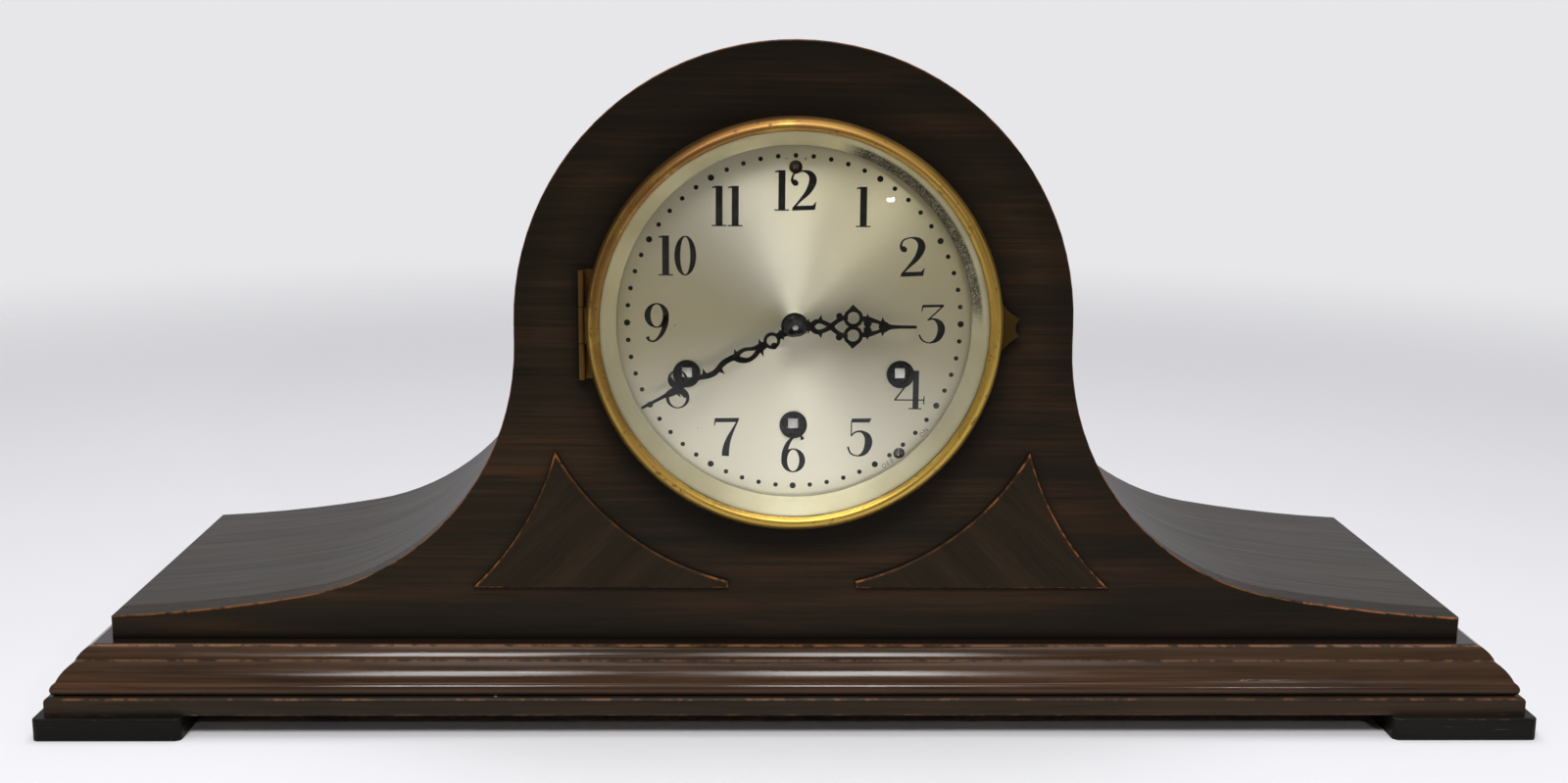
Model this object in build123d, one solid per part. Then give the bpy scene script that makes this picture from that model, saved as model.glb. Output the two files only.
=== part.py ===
from build123d import *
import math
import os

os.makedirs("parts", exist_ok=True)

# Tambour mantel clock, millimetres. +Z is up, the dial faces -Y, and the origin is under the
# middle of the feet. A station is a distance behind the front face of the case, so a piece in
# front of the case has a negative station. Places on the dial are given from its centre.

# Case outline
case_half_width = 245.0
case_depth = 139.0
arch_radius = 98.5
dial_above_base = 115.7
shoulder_drop = 6.7
flare_radius = 94.5
flare_end_bearing = 9.75
wing_rise = 8.3

# Boards
panel_thickness = 12.0
panel_edge_radius = 0.7
skin_thickness = 5.0
back_thickness = 8.0
board_clearance = 0.2
panel_hole_margin = 1.5

# Base
foot_overhang = 22.3
foot_back_overhang = 8.6
foot_length = 52.0
foot_depth = 42.0
foot_height = 8.1
foot_edge_radius = 2.4
foot_top_radius = 0.8
plinth_overhang = 18.7
plinth_back_overhang = 6.0
plinth_thickness = 6.4
plinth_edge_radius = 1.6
moulding_height = 15.6
moulding_inner_width = 18.0
moulding_top_ledge = 4.9
moulding_step = 9.9
moulding_step_height = 10.6
moulding_step_rise = 0.5
moulding_nose = 17.0
moulding_nose_waist = 15.4
moulding_nose_height = 4.6
moulding_foot = 15.8

# Spandrel overlays
overlay_thickness = 1.5
overlay_bevel = 0.6
overlay_circle_radius = 96.2
overlay_tip_drop = 45.8
overlay_foot_rise = 19.7
overlay_inner_end = 23.0
overlay_outer_end = 114.8
overlay_waist = (98.6, 39.0)

# Rear door
door_half_width = 60.0
door_bottom_rise = 32.0
door_height = 122.0
door_clearance = 0.5
rear_hinge_spacing = 76.0
rear_hinge_height = 24.0
rear_hinge_leaf_width = 13.0
rear_hinge_leaf = 1.0
rear_barrel_radius = 1.5
rear_pin_radius = 0.75
rear_hinge_rise = 0.2
rear_hinge_land = 0.5
knob_radius = 5.0
knob_neck_radius = 2.6
knob_length = 7.4
knob_edge_distance = 9.0
knob_neck_share = 0.35
knob_belly_share = 0.68

# Bezel
bezel_radius = 72.7
bezel_width = 4.9
bezel_wall = 3.1
bezel_back = -0.4
bezel_shoulder = -4.6
bezel_front = -10.0
bezel_crest_inset = 0.6
bezel_lip_drop = 1.6
glass_seat = -6.6
glass_thickness = 2.0
glass_rise = 11.6
sight_inset = 10.1
sight_back = 2.4
sight_sheet = 0.8
sight_seat_width = 1.6
sight_rim_height = 1.4

# Bezel hinge and catch
hinge_offset = 1.6
hinge_station = -2.6
hinge_height = 38.6
hinge_barrel_radius = 1.25
hinge_pin_radius = 0.65
hinge_leaf = 0.7
hinge_leaf_width = 5.5
tab_front = -4.0
tab_back = -2.5
tab_reach = 6.0
tab_half_height = 9.0
tab_shoulder = 2.2
tab_notch = 1.4
keeper_length = 8.0
keeper_inset = 1.5
keeper_dome_radius = 1.4

# Dial
dial_inset = 6.7
dial_front = 4.0
dial_thickness = 1.0
dial_hole_inset = 6.0
dial_hole_clearance = 1.0
dial_screw_inset = 1.8
dial_screw_radius = 0.9
dial_screw_head = 1.4
dial_screw_head_height = 0.6
dial_screw_length = 6.0
dial_screw_count = 4
collar_radius = 4.9
collar_bore = 3.4
collar_sleeve = 4.1
collar_lip = 0.7
collar_length = 2.5

# Places of the arbors on the dial
side_arbor = (37.9, -18.1)
regulator_inset = 11.2
selector_inset = 5.6
selector_bearing = -51.0
regulator_hole_radius = 2.35
selector_hole_radius = 2.1
small_arbor_radius = 1.5

# Hands
hand_grid_count = 66
hour_bearing = 90.0
minute_bearing = 241.8
hand_thickness = 0.8
hour_hand_station = -3.2
minute_hand_station = -6.4
hour_hub_radius = 4.8
minute_hub_radius = 4.3
nut_radius = 4.0
nut_height = 3.0
arbor_tip_station = -10.4
arbor_tip_radius = 0.95
nut_clearance = 0.15
nut_bulge = (0.78, 0.66)

# Teeth and windows of the wheels
tooth_addendum = 0.55
tooth_dedendum = 1.0
rim_width = 2.2
spoke_width = 1.6
hub_radius = 3.2
small_hub_radius = 2.4
hub_margin = 0.8
spoke_count = 4

# Motion work
motion_module = 0.4
cannon_teeth = 15
minute_teeth = 45
minute_pinion_teeth = 12
hour_teeth = 48
minute_stud_bearing = 30.0
cannon_radius = 2.0
hour_pipe_radius = 3.2
minute_stud_radius = 0.9
hour_wheel_station = 8.6
minute_wheel_station = 12.4
motion_wheel_thickness = 1.5

# Movement plates
plate_side_inset = 2.0
plate_corner = 9.0
plate_thickness = 2.0
front_plate_station = 17.0
plate_gap = 38.0
pillar_radius = 3.2
pillar_inset = (6.0, 6.0)
post_radius = 4.2
post_inset = (7.0, 16.0)
screw_radius = 1.8
screw_head_radius = 3.2
screw_head = 1.8
screw_bite = 6.0

# Going train
great_module = 0.5
great_teeth = 76
second_pinion_teeth = 10
second_teeth = 48
centre_pinion_teeth = 12
centre_teeth = 64
third_pinion_teeth = 8
fine_module = 0.4
third_teeth = 60
escape_pinion_teeth = 8
third_bearing = 56.3
escape_bearing = 126.0
wheel_thickness = 1.8
pivot_radius = 0.8
train_arbor_radius = 1.0
second_wheel_inset = 2.0
great_wheel_inset = 5.5
drum_length = 21.5
drum_radius = 18.4
drum_wall = 1.2
centre_wheel_inset = 31.0
third_wheel_inset = 34.5
escape_wheel_inset = 26.0
escape_radius = 8.5
escape_teeth = 30
escape_tooth_depth = 2.0
escape_rim_width = 3.0
pallet_rise = 13.8
pallet_clearance = 1.3
pallet_hub_radius = 2.6
pallet_span_bearing = 35.0
pallet_stone = (2.0, 3.4)

# Winding
winding_radius = 2.5
winding_square = 3.5
winding_square_length = 9.0
winding_recess = 2.0
ratchet_radius = 6.6
ratchet_teeth = 24
ratchet_tooth_depth = 1.0
ratchet_gap = 0.7
ratchet_thickness = 1.8
click_radius = 1.6
click_clearance = 0.35
click_stud_rise = 3.6
spring_turns = 4
spring_sheet = 0.6
spring_inner_radius = 5.0

# Pendulum
crutch_inset = 1.2
crutch_length = 26.0
crutch_hub_radius = 2.4
crutch_prong = (1.2, 1.6)
pendulum_station_gap = 7.0
pendulum_rod_width = 2.4
pendulum_rod_sheet = 1.2
pendulum_length = 88.0
pendulum_eye_margin = 2.0
bob_radius = 15.0
bob_thickness = 8.0
bob_rise_share = 0.6
bob_edge_share = 0.3
stud_radius = 1.5
cock_sheet = 2.5
cock_half_width = 6.0
cock_rise = 4.2
cock_drop = 4.0

# Regulator and chime selector
regulator_square_length = 6.0
regulator_square_easing = 0.1
regulator_tail = 4.0
regulator_collar_gap = 1.0
regulator_collar_margin = 1.6
selector_lever_gap = 1.2
selector_lever_thickness = 2.0
selector_hub_margin = 1.5
selector_slot_width = 0.7
selector_slot_depth = 1.0

# Chime rods and hammers
rod_count = 4
rod_pitch = 8.0
rod_radius = 1.5
rod_rise = 14.0
rod_longest = 184.0
rod_step = 12.0
rod_first_station = 80.0
block_place = 118.0
block_length = 14.0
block_height = 23.0
block_margin = 7.0
block_chamfer = 2.0
rail_place = (62.0, 62.0)
rail_radius = 2.0
rail_foot_overlap = 14.0
rail_foot_thickness = 3.0
rail_foot_drop = 4.0
rail_foot_rise = 8.0
hammer_reach = 30.0
hammer_head_radius = 3.4
hammer_head_height = 10.0
hammer_gap = 1.0
hammer_hub_radius = 3.6
hammer_sheet = 3.0
hammer_arm_half = 1.2

# Fits
running_clearance = 0.05
seat_clearance = 0.02
moving_gap = 0.3

# Levels and stations that follow from the sizes above
plinth_top = foot_height + plinth_thickness
case_bottom = plinth_top + moulding_height
dial_z = case_bottom + dial_above_base
front_y = foot_overhang - (foot_overhang + case_depth + foot_back_overhang) / 2
back_y = front_y + case_depth
back_plate_station = front_plate_station + plate_thickness + plate_gap
plate_inner = front_plate_station + plate_thickness
movement_back = back_plate_station + plate_thickness
dial_back = dial_front + dial_thickness
bezel_lip_radius = bezel_radius - bezel_width
glass_radius = bezel_radius - bezel_wall
sight_inner_radius = bezel_radius - sight_inset
dial_radius = bezel_radius - dial_inset
dial_hole_radius = dial_radius - dial_hole_inset
dial_screw_circle = dial_radius - dial_screw_inset
plate_half_width = dial_hole_radius - plate_side_inset
plate_half_height = dial_hole_radius
hand_grid = dial_radius / hand_grid_count
pendulum_front = movement_back + pendulum_station_gap
drum_hollow = drum_radius - drum_wall
spring_pitch = (drum_hollow - moving_gap - spring_inner_radius - spring_sheet) / spring_turns


def polar(place, distance, bearing):
    """A place on the dial, at a bearing measured from +X towards the top."""
    angle = math.radians(bearing)
    return (place[0] + distance * math.cos(angle), place[1] + distance * math.sin(angle))


def bearing_of(place, target):
    return math.degrees(math.atan2(target[1] - place[1], target[0] - place[0]))


def pitch_distance(module, teeth_a, teeth_b):
    return module * (teeth_a + teeth_b) / 2


# Arbors of the going train, from the centre arbor outwards
centre = (0.0, 0.0)
second = polar(centre, pitch_distance(great_module, second_teeth, centre_pinion_teeth), -90)
time = polar(second, pitch_distance(great_module, great_teeth, second_pinion_teeth), -90)
third = polar(centre, pitch_distance(fine_module, centre_teeth, third_pinion_teeth), third_bearing)
escape = polar(third, pitch_distance(fine_module, third_teeth, escape_pinion_teeth), escape_bearing)
pallet = (escape[0], escape[1] + pallet_rise)
strike = (-side_arbor[0], side_arbor[1])
chime = side_arbor
minute_stud = polar(
    centre, pitch_distance(motion_module, cannon_teeth, minute_teeth), minute_stud_bearing
)
winding_places = {"time": time, "strike": strike, "chime": chime}
regulator_place = (0.0, dial_radius - regulator_inset)
selector_place = polar(centre, dial_radius - selector_inset, selector_bearing)
train_places = (second, third, escape)


def station_plane(station):
    """Upright plane at a station, with sketch x to the right and sketch y upwards."""
    return Plane(origin=(0, front_y + station, 0), x_dir=(1, 0, 0), z_dir=(0, -1, 0))


def slab(sketch, front, back):
    """Extrude an upright sketch from one station to another."""
    return extrude(station_plane(front) * sketch, amount=front - back)


def on_dial(place):
    return Pos(place[0], dial_z + place[1])


def rod_at(place, radius, front, back):
    """A round bar along Y at a place on the dial."""
    return slab(on_dial(place) * Circle(radius), front, back)


def turned(profile):
    """Turn a profile of (radius, station) about the dial's axis."""
    plane = Plane(origin=(0, front_y, dial_z), x_dir=(1, 0, 0), z_dir=(0, 0, 1))
    return revolve(plane * profile, axis=Axis((0, front_y, dial_z), (0, 1, 0)))


def box_between(low, high):
    size = [high[i] - low[i] for i in range(3)]
    middle = [(high[i] + low[i]) / 2 for i in range(3)]
    return Pos(*middle) * Box(*size)


def write(name, *pieces):
    solids = [solid for piece in pieces for solid in piece.solids()]
    shape = solids[0] if len(solids) == 1 else Compound(solids)
    export_step(shape, f"parts/{name}.step")


# Case


def half_outline(inset):
    """Edges of the right half of the case, from the top of the arch to the foot of the wing."""
    radius = arch_radius - inset
    top = (0, dial_z + radius)
    diagonal = radius / math.sqrt(2)
    side = (radius, dial_z)
    flare_x = arch_radius + flare_radius
    flare_z = dial_z - shoulder_drop
    reach = flare_radius + inset

    def on_flare(bearing):
        angle = math.radians(bearing)
        return (flare_x - reach * math.sin(angle), flare_z - reach * math.cos(angle))

    flare_start = (radius, flare_z)
    flare_end = on_flare(flare_end_bearing)
    slope = math.radians(flare_end_bearing)
    wing_tip = (case_half_width - inset, case_bottom + wing_rise - inset)
    return [
        ThreePointArc(top, (diagonal, dial_z + diagonal), side),
        Line(side, flare_start),
        ThreePointArc(flare_start, on_flare((90 + flare_end_bearing) / 2), flare_end),
        TangentArc(flare_end, wing_tip, tangent=(math.cos(slope), -math.sin(slope))),
        Line(wing_tip, (wing_tip[0], case_bottom)),
    ]


def outline_face(inset):
    right = half_outline(inset)
    left = [mirror(edge, about=Plane.YZ) for edge in right]
    foot = case_half_width - inset
    return make_face(right + left + [Line((foot, case_bottom), (-foot, case_bottom))])


def front_panel():
    panel = slab(outline_face(0), 0, panel_thickness)
    front_edges = panel.edges().group_by(Axis.Y)[0]
    worn = [edge for edge in front_edges if edge.center().Z > case_bottom + panel_edge_radius]
    panel = fillet(worn, panel_edge_radius)
    panel -= rod_at(centre, dial_radius + dial_hole_clearance, 0, dial_back)
    panel -= rod_at(centre, dial_hole_radius, dial_back, panel_thickness)
    panel -= rod_at(selector_place, selector_hole_radius + panel_hole_margin, dial_back, panel_thickness)
    panel -= hinge_pocket()
    dial_screw_hole = dial_screw_radius + seat_clearance
    for place in dial_screw_places():
        panel -= rod_at(place, dial_screw_hole, dial_back, dial_back + dial_screw_length)
    post_hole = screw_radius + seat_clearance
    for place in post_places():
        panel -= rod_at(place, post_hole, panel_thickness - screw_bite, panel_thickness)
    return panel


def case_top():
    shell = outline_face(0) - outline_face(skin_thickness)
    return slab(shell, panel_thickness, case_depth)


def back_panel():
    board = slab(
        outline_face(skin_thickness + board_clearance), case_depth - back_thickness, case_depth
    )
    return board - slab(door_sketch(0), case_depth - back_thickness, case_depth)


def case_floor():
    inner = case_half_width - moulding_inner_width - board_clearance
    front = front_y + moulding_inner_width + board_clearance
    return box_between((-inner, front, plinth_top), (inner, back_y, case_bottom))


def spandrel_overlay(side):
    """A raised overlay that follows the bezel on one edge and the flare on the other."""
    radius = overlay_circle_radius

    def on_circle(x):
        return (side * x, dial_z - math.sqrt(radius**2 - x**2))

    tip = math.sqrt(radius**2 - overlay_tip_drop**2)
    low = case_bottom + overlay_foot_rise
    inner = on_circle(overlay_inner_end)
    outer = (side * overlay_outer_end, low)
    waist = (side * overlay_waist[0], case_bottom + overlay_waist[1])
    edges = [
        ThreePointArc(on_circle(tip), on_circle((tip + overlay_inner_end) / 2), inner),
        Line(inner, (inner[0], low)),
        Line((inner[0], low), outer),
        ThreePointArc(outer, waist, on_circle(tip)),
    ]
    overlay = slab(make_face(edges), -overlay_thickness, 0)
    return chamfer(overlay.edges().group_by(Axis.Y)[0], overlay_bevel)


# Base


def base_moulding():
    """Moulded edge along the front and both ends, mitred at the corners."""
    low = plinth_top
    top = case_bottom
    step = low + moulding_step_height
    nose = low + moulding_nose_height
    lip = step + moulding_step_rise
    edges = [
        Line((-moulding_inner_width, low), (moulding_foot, low)),
        ThreePointArc(
            (moulding_foot, low),
            (moulding_nose, low + moulding_nose_height / 2),
            (moulding_nose_waist, nose),
        ),
        ThreePointArc(
            (moulding_nose_waist, nose),
            ((moulding_nose_waist + moulding_step) / 2 + 0.5, (nose + step) / 2 + 0.5),
            (moulding_step, step),
        ),
        Line((moulding_step, step), (moulding_step, lip)),
        ThreePointArc(
            (moulding_step, lip),
            ((moulding_step + moulding_top_ledge) / 2 + 0.5, (lip + top) / 2 + 0.5),
            (moulding_top_ledge, top),
        ),
        Line((moulding_top_ledge, top), (-moulding_inner_width, top)),
        Line((-moulding_inner_width, top), (-moulding_inner_width, low)),
    ]
    start = Plane(origin=(-case_half_width, back_y, 0), x_dir=(-1, 0, 0), z_dir=(0, 1, 0))
    path = Polyline(
        (-case_half_width, back_y, 0),
        (-case_half_width, front_y, 0),
        (case_half_width, front_y, 0),
        (case_half_width, back_y, 0),
    )
    return sweep(start * make_face(edges), path=path, transition=Transition.RIGHT)


def base_plinth():
    half = case_half_width + plinth_overhang
    board = box_between(
        (-half, front_y - plinth_overhang, foot_height),
        (half, back_y + plinth_back_overhang, plinth_top),
    )
    top_edges = board.edges().group_by(Axis.Z)[-1]
    return fillet(top_edges, plinth_edge_radius)


def block_feet():
    half = case_half_width + foot_overhang
    fronts = (front_y - foot_overhang, back_y + foot_back_overhang - foot_depth)
    feet = []
    for left in (-half, half - foot_length):
        for front in fronts:
            foot = box_between((left, front, 0), (left + foot_length, front + foot_depth, foot_height))
            foot = fillet(foot.edges().filter_by(Axis.Z), foot_edge_radius)
            feet.append(fillet(foot.edges().group_by(Axis.Z)[-1], foot_top_radius))
    return feet


# Rear door


def door_sketch(gap):
    """The door's opening, made smaller all round by a gap."""
    middle = case_bottom + door_bottom_rise + door_height / 2
    return Pos(0, middle) * Rectangle(2 * (door_half_width - gap), door_height - 2 * gap)


rear_axis_x = door_half_width - door_clearance / 2
rear_axis_y = back_y + rear_barrel_radius + rear_hinge_rise
rear_hinge_middle = case_bottom + door_bottom_rise + door_height / 2
rear_hinge_levels = [rear_hinge_middle + side * rear_hinge_spacing / 2 for side in (-1, 1)]


def rear_door():
    return slab(door_sketch(door_clearance), case_depth - back_thickness, case_depth)


def upright_bar(x, y, radius, low, high):
    return extrude(Plane.XY.offset(low) * Pos(x, y) * Circle(radius), amount=high - low)


def rear_hinge_part(side, knuckles):
    """Leaves of both rear hinges: side +1 is on the case and side -1 on the door."""
    leaves = []
    third_height = rear_hinge_height / 3
    for level in rear_hinge_levels:
        low = level - rear_hinge_height / 2
        near = rear_axis_x + side * (rear_barrel_radius + rear_hinge_land)
        far = near + side * rear_hinge_leaf_width
        leaf = box_between(
            (min(near, far), back_y, low),
            (max(near, far), back_y + rear_hinge_leaf, low + rear_hinge_height),
        )
        for knuckle in knuckles:
            base = low + knuckle * third_height + moving_gap / 2
            top = base + third_height - moving_gap
            web = (min(near, rear_axis_x), rear_axis_y - rear_barrel_radius, base)
            leaf += box_between(web, (max(near, rear_axis_x), back_y + rear_hinge_leaf, top))
            leaf += upright_bar(rear_axis_x, rear_axis_y, rear_barrel_radius, base, top)
        bore = rear_pin_radius + running_clearance
        leaf -= upright_bar(rear_axis_x, rear_axis_y, bore, low, low + rear_hinge_height)
        leaves.append(leaf)
    return leaves


def rear_hinge_pins():
    half = rear_hinge_height / 2
    return [
        upright_bar(rear_axis_x, rear_axis_y, rear_pin_radius, level - half, level + half)
        for level in rear_hinge_levels
    ]


def rear_door_knob():
    x = -(door_half_width - door_clearance - knob_edge_distance)
    neck = (knob_neck_radius, knob_length * knob_neck_share)
    belly = (knob_radius, knob_length * knob_belly_share)
    profile = [
        Line((0, 0), (knob_neck_radius, 0)),
        Line((knob_neck_radius, 0), neck),
        ThreePointArc(neck, belly, (knob_neck_radius, knob_length)),
        Line((knob_neck_radius, knob_length), (0, knob_length)),
        Line((0, knob_length), (0, 0)),
    ]
    place = Plane(origin=(x, back_y, rear_hinge_middle), x_dir=(1, 0, 0), z_dir=(0, 0, 1))
    return revolve(place * make_face(profile), axis=Axis((x, back_y, rear_hinge_middle), (0, 1, 0)))


# Bezel


def rounded_quarter(middle, side, crest, start):
    """A quarter of an ellipse between its side and its crest."""
    across = abs(side[0] - middle[0])
    rise = abs(crest[1] - middle[1])
    return EllipticalCenterArc(middle, across, rise, start, arc_size=90)


def bezel_ring():
    middle = (bezel_radius + bezel_lip_radius) / 2
    rebate = glass_radius + board_clearance
    shoulder = (bezel_radius, bezel_shoulder)
    crest = (middle - bezel_crest_inset, bezel_front)
    lip = (bezel_lip_radius, bezel_front + bezel_lip_drop)
    edges = [
        Line((rebate, bezel_back), (bezel_radius, bezel_back)),
        Line((bezel_radius, bezel_back), shoulder),
        rounded_quarter((crest[0], shoulder[1]), shoulder, crest, 270),
        rounded_quarter((crest[0], lip[1]), lip, crest, 180),
        Line(lip, (bezel_lip_radius, glass_seat)),
        Line((bezel_lip_radius, glass_seat), (rebate, glass_seat)),
        Line((rebate, glass_seat), (rebate, bezel_back)),
    ]
    return turned(make_face(edges))


def bezel_glass():
    """Domed glass with a flat rim that sits behind the lip of the bezel."""
    rim = bezel_lip_radius - board_clearance
    crown = glass_seat - glass_rise
    radius = (rim**2 + glass_rise**2) / (2 * glass_rise)
    inner_radius = radius - glass_thickness
    back = glass_seat + glass_thickness
    middle = crown + radius
    inner_rim = math.sqrt(inner_radius**2 - (middle - back) ** 2)

    def on_sphere(reach, share, rim_radius):
        angle = math.asin(rim_radius / reach) * share
        return (reach * math.sin(angle), middle - reach * math.cos(angle))

    inner_crown = (0, crown + glass_thickness)
    edges = [
        ThreePointArc((0, crown), on_sphere(radius, 0.5, rim), (rim, glass_seat)),
        Line((rim, glass_seat), (glass_radius, glass_seat)),
        Line((glass_radius, glass_seat), (glass_radius, back)),
        Line((glass_radius, back), (inner_rim, back)),
        ThreePointArc((inner_rim, back), on_sphere(inner_radius, 0.5, inner_rim), inner_crown),
        Line(inner_crown, (0, crown)),
    ]
    return turned(make_face(edges))


def sight_ring():
    """Pale conical ring between the glass and the dial."""
    back = glass_seat + glass_thickness
    outer = glass_radius
    edges = Polyline(
        (outer, back),
        (outer - sight_seat_width, back),
        (sight_inner_radius, sight_back - sight_sheet),
        (sight_inner_radius, sight_back),
        (sight_inner_radius + sight_sheet, sight_back),
        (outer, back + sight_rim_height),
        close=True,
    )
    return turned(make_face(edges))


hinge_x = -(bezel_radius + hinge_offset)
hinge_y = front_y + hinge_station


def hinge_bar(radius, low, high):
    return upright_bar(hinge_x, hinge_y, radius, dial_z + low, dial_z + high)


def hinge_pocket():
    half = hinge_height / 2
    return box_between(
        (hinge_x - hinge_leaf / 2, front_y, dial_z - half),
        (hinge_x + hinge_leaf_width, front_y + hinge_leaf, dial_z + half),
    )


def bezel_hinge_case_leaf():
    """Leaf let into the front panel, with the upper and lower knuckle."""
    half = hinge_height / 2
    middle = hinge_height / 6 + moving_gap / 2
    leaf = hinge_pocket()
    for low, high in ((-half, -middle), (middle, half)):
        leaf += box_between(
            (hinge_x - hinge_leaf / 2, hinge_y, dial_z + low),
            (hinge_x + hinge_leaf / 2, front_y + hinge_leaf, dial_z + high),
        )
        leaf += hinge_bar(hinge_barrel_radius, low, high)
    return leaf - hinge_bar(hinge_pin_radius + running_clearance, -half, half)


def bezel_hinge_bezel_leaf():
    """Middle knuckle with the strap that meets the side of the bezel."""
    half = hinge_height / 6 - moving_gap / 2
    strap = box_between(
        (hinge_x, hinge_y - hinge_leaf, dial_z - half),
        (-bezel_radius - seat_clearance, hinge_y + hinge_leaf, dial_z + half),
    )
    leaf = strap + hinge_bar(hinge_barrel_radius, -half, half)
    return leaf - hinge_bar(hinge_pin_radius + running_clearance, -half, half)


def bezel_hinge_pin():
    return hinge_bar(hinge_pin_radius, -hinge_height / 2, hinge_height / 2)


def bezel_catch_tab():
    """Two-lobed thumb tab on the right side of the bezel."""
    root = math.sqrt(bezel_radius**2 - tab_half_height**2)
    tip = bezel_radius + tab_reach
    lobe = tab_half_height / 3
    shoulder = (bezel_radius + tab_shoulder, lobe * 1.9)
    edges = [
        Line((root, -tab_half_height), (root, tab_half_height)),
        ThreePointArc((root, tab_half_height), shoulder, (tip, lobe)),
        ThreePointArc((tip, lobe), (tip - tab_notch, 0), (tip, -lobe)),
        ThreePointArc((tip, -lobe), (shoulder[0], -shoulder[1]), (root, -tab_half_height)),
    ]
    tab = slab(on_dial(centre) * make_face(edges), tab_front, tab_back)
    return tab - rod_at(centre, bezel_radius + seat_clearance, tab_front, tab_back)


def bezel_catch_keeper():
    """Small domed strike on the front panel, just behind the thumb tab."""
    x = bezel_radius + tab_reach / 2
    plate = Pos(x, dial_z) * Rectangle(tab_reach - keeper_inset, keeper_length)
    keeper = slab(plate, -hinge_leaf, 0)
    return keeper + rod_at((x, 0), keeper_dome_radius, tab_back + moving_gap, -hinge_leaf)


# Dial


def dial_screw_places():
    turn = 360 / dial_screw_count
    return [polar(centre, dial_screw_circle, turn * i) for i in range(dial_screw_count)]


def dial_plate():
    dial = rod_at(centre, dial_radius, dial_front, dial_back)
    dial -= rod_at(centre, hour_pipe_radius + moving_gap, dial_front, dial_back)
    for place in winding_places.values():
        dial -= rod_at(place, collar_sleeve + seat_clearance, dial_front, dial_back)
    dial -= rod_at(regulator_place, regulator_hole_radius, dial_front, dial_back)
    dial -= rod_at(selector_place, selector_hole_radius, dial_front, dial_back)
    for place in dial_screw_places():
        dial -= rod_at(place, dial_screw_radius + running_clearance, dial_front, dial_back)
    return dial


def winding_hole_collars():
    collars = []
    for place in winding_places.values():
        collar = rod_at(place, collar_radius, dial_front - collar_lip, dial_front)
        collar += rod_at(place, collar_sleeve, dial_front, dial_front + collar_length)
        collar -= rod_at(place, collar_bore, dial_front - collar_lip, dial_front + collar_length)
        collars.append(collar)
    return collars


def dial_screws():
    screws = []
    for place in dial_screw_places():
        screw = rod_at(place, dial_screw_head, dial_front - dial_screw_head_height, dial_front)
        screw += rod_at(place, dial_screw_radius, dial_front, dial_back + dial_screw_length)
        screws.append(screw)
    return screws


# Hands, drawn pointing at the twelve as (across, along) from the hub, in units of the hand grid


def ribbon(points):
    """A curved strip through (across, along, half width) points."""
    left = []
    right = []
    for i, (across, along, half) in enumerate(points):
        before = points[max(i - 1, 0)]
        after = points[min(i + 1, len(points) - 1)]
        run = math.hypot(after[0] - before[0], after[1] - before[1])
        normal = ((after[1] - before[1]) / run, (before[0] - after[0]) / run)
        right.append((across + half * normal[0], along + half * normal[1]))
        left.append((across - half * normal[0], along - half * normal[1]))
    start = Line(left[0], right[0])
    end = Line(right[-1], left[-1])
    return make_face([Spline(*right), end, Spline(*reversed(left)), start])


def side_ribbon(side, points):
    """A ribbon on one side of the hand."""
    return ribbon([(side * across, along, half) for across, along, half in points])


def ring(across, along, outer, inner):
    return Pos(across, along) * (Circle(outer) - Circle(inner))


def barb(across, along, tip_across, tip_along, half):
    """A pointed leaf from a root to a tip."""
    run = math.hypot(tip_across - across, tip_along - along)
    side = (half * (tip_along - along) / run, half * (across - tip_across) / run)
    return Polygon(
        (across - side[0], along - side[1]),
        (across + side[0], along + side[1]),
        (tip_across, tip_along),
        align=None,
    )


def joined(shapes):
    sketch = shapes[0]
    for shape in shapes[1:]:
        sketch = sketch + shape
    return sketch


def hand(shapes, bore, station, bearing):
    sketch = scale(joined(shapes), by=hand_grid) - Circle(bore)
    plate = slab(on_dial(centre) * sketch, station, station + hand_thickness)
    return plate.rotate(Axis((0, front_y, dial_z), (0, 1, 0)), bearing)


def hour_hand():
    shapes = [
        Circle(hour_hub_radius),
        ribbon([(0, 4.0, 2.4), (0, 5.2, 1.7), (0, 6.8, 1.6)]),
        ribbon([(0, 32.2, 1.4), (0, 33.6, 0.85), (0, 35.4, 0.62), (0, 38.8, 0.55), (0, 42.6, 0.45)]),
        Pos(0, 31.2) * Circle(1.9),
        Pos(0, 12.8) * Circle(1.2),
    ]
    for side in (-1, 1):
        shapes += [
            barb(0, 4.9, side * 3.0, 4.7, 0.9),
            side_ribbon(side, [(0.6, 6.2, 1.1), (1.9, 8.3, 0.8), (1.2, 10.6, 0.75), (0.2, 12.8, 0.85)]),
            barb(side * 1.8, 8.8, side * 4.1, 9.2, 1.1),
            side_ribbon(side, [(0.2, 12.6, 0.85), (1.4, 14.0, 0.75), (2.9, 16.4, 0.8), (3.2, 17.8, 0.8)]),
            Pos(side * 3.7, 15.5) * Circle(1.15),
            Pos(side * 3.2, 17.6) * Circle(0.95),
            ring(side * 3.1, 20.4, 3.4, 2.15),
            barb(side * 6.0, 20.3, side * 7.8, 20.2, 1.8),
            side_ribbon(side, [(2.9, 23.4, 0.7), (2.6, 25.4, 1.0), (2.0, 28.2, 0.65), (1.0, 30.6, 0.8)]),
            Pos(side * 1.25, 25.4) * Circle(1.4),
            barb(side * 2.3, 25.4, side * 4.7, 25.4, 1.0),
            barb(side * 1.1, 30.8, side * 3.4, 30.6, 1.0),
        ]
    return hand(shapes, hour_pipe_radius + seat_clearance, hour_hand_station, hour_bearing)


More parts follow.
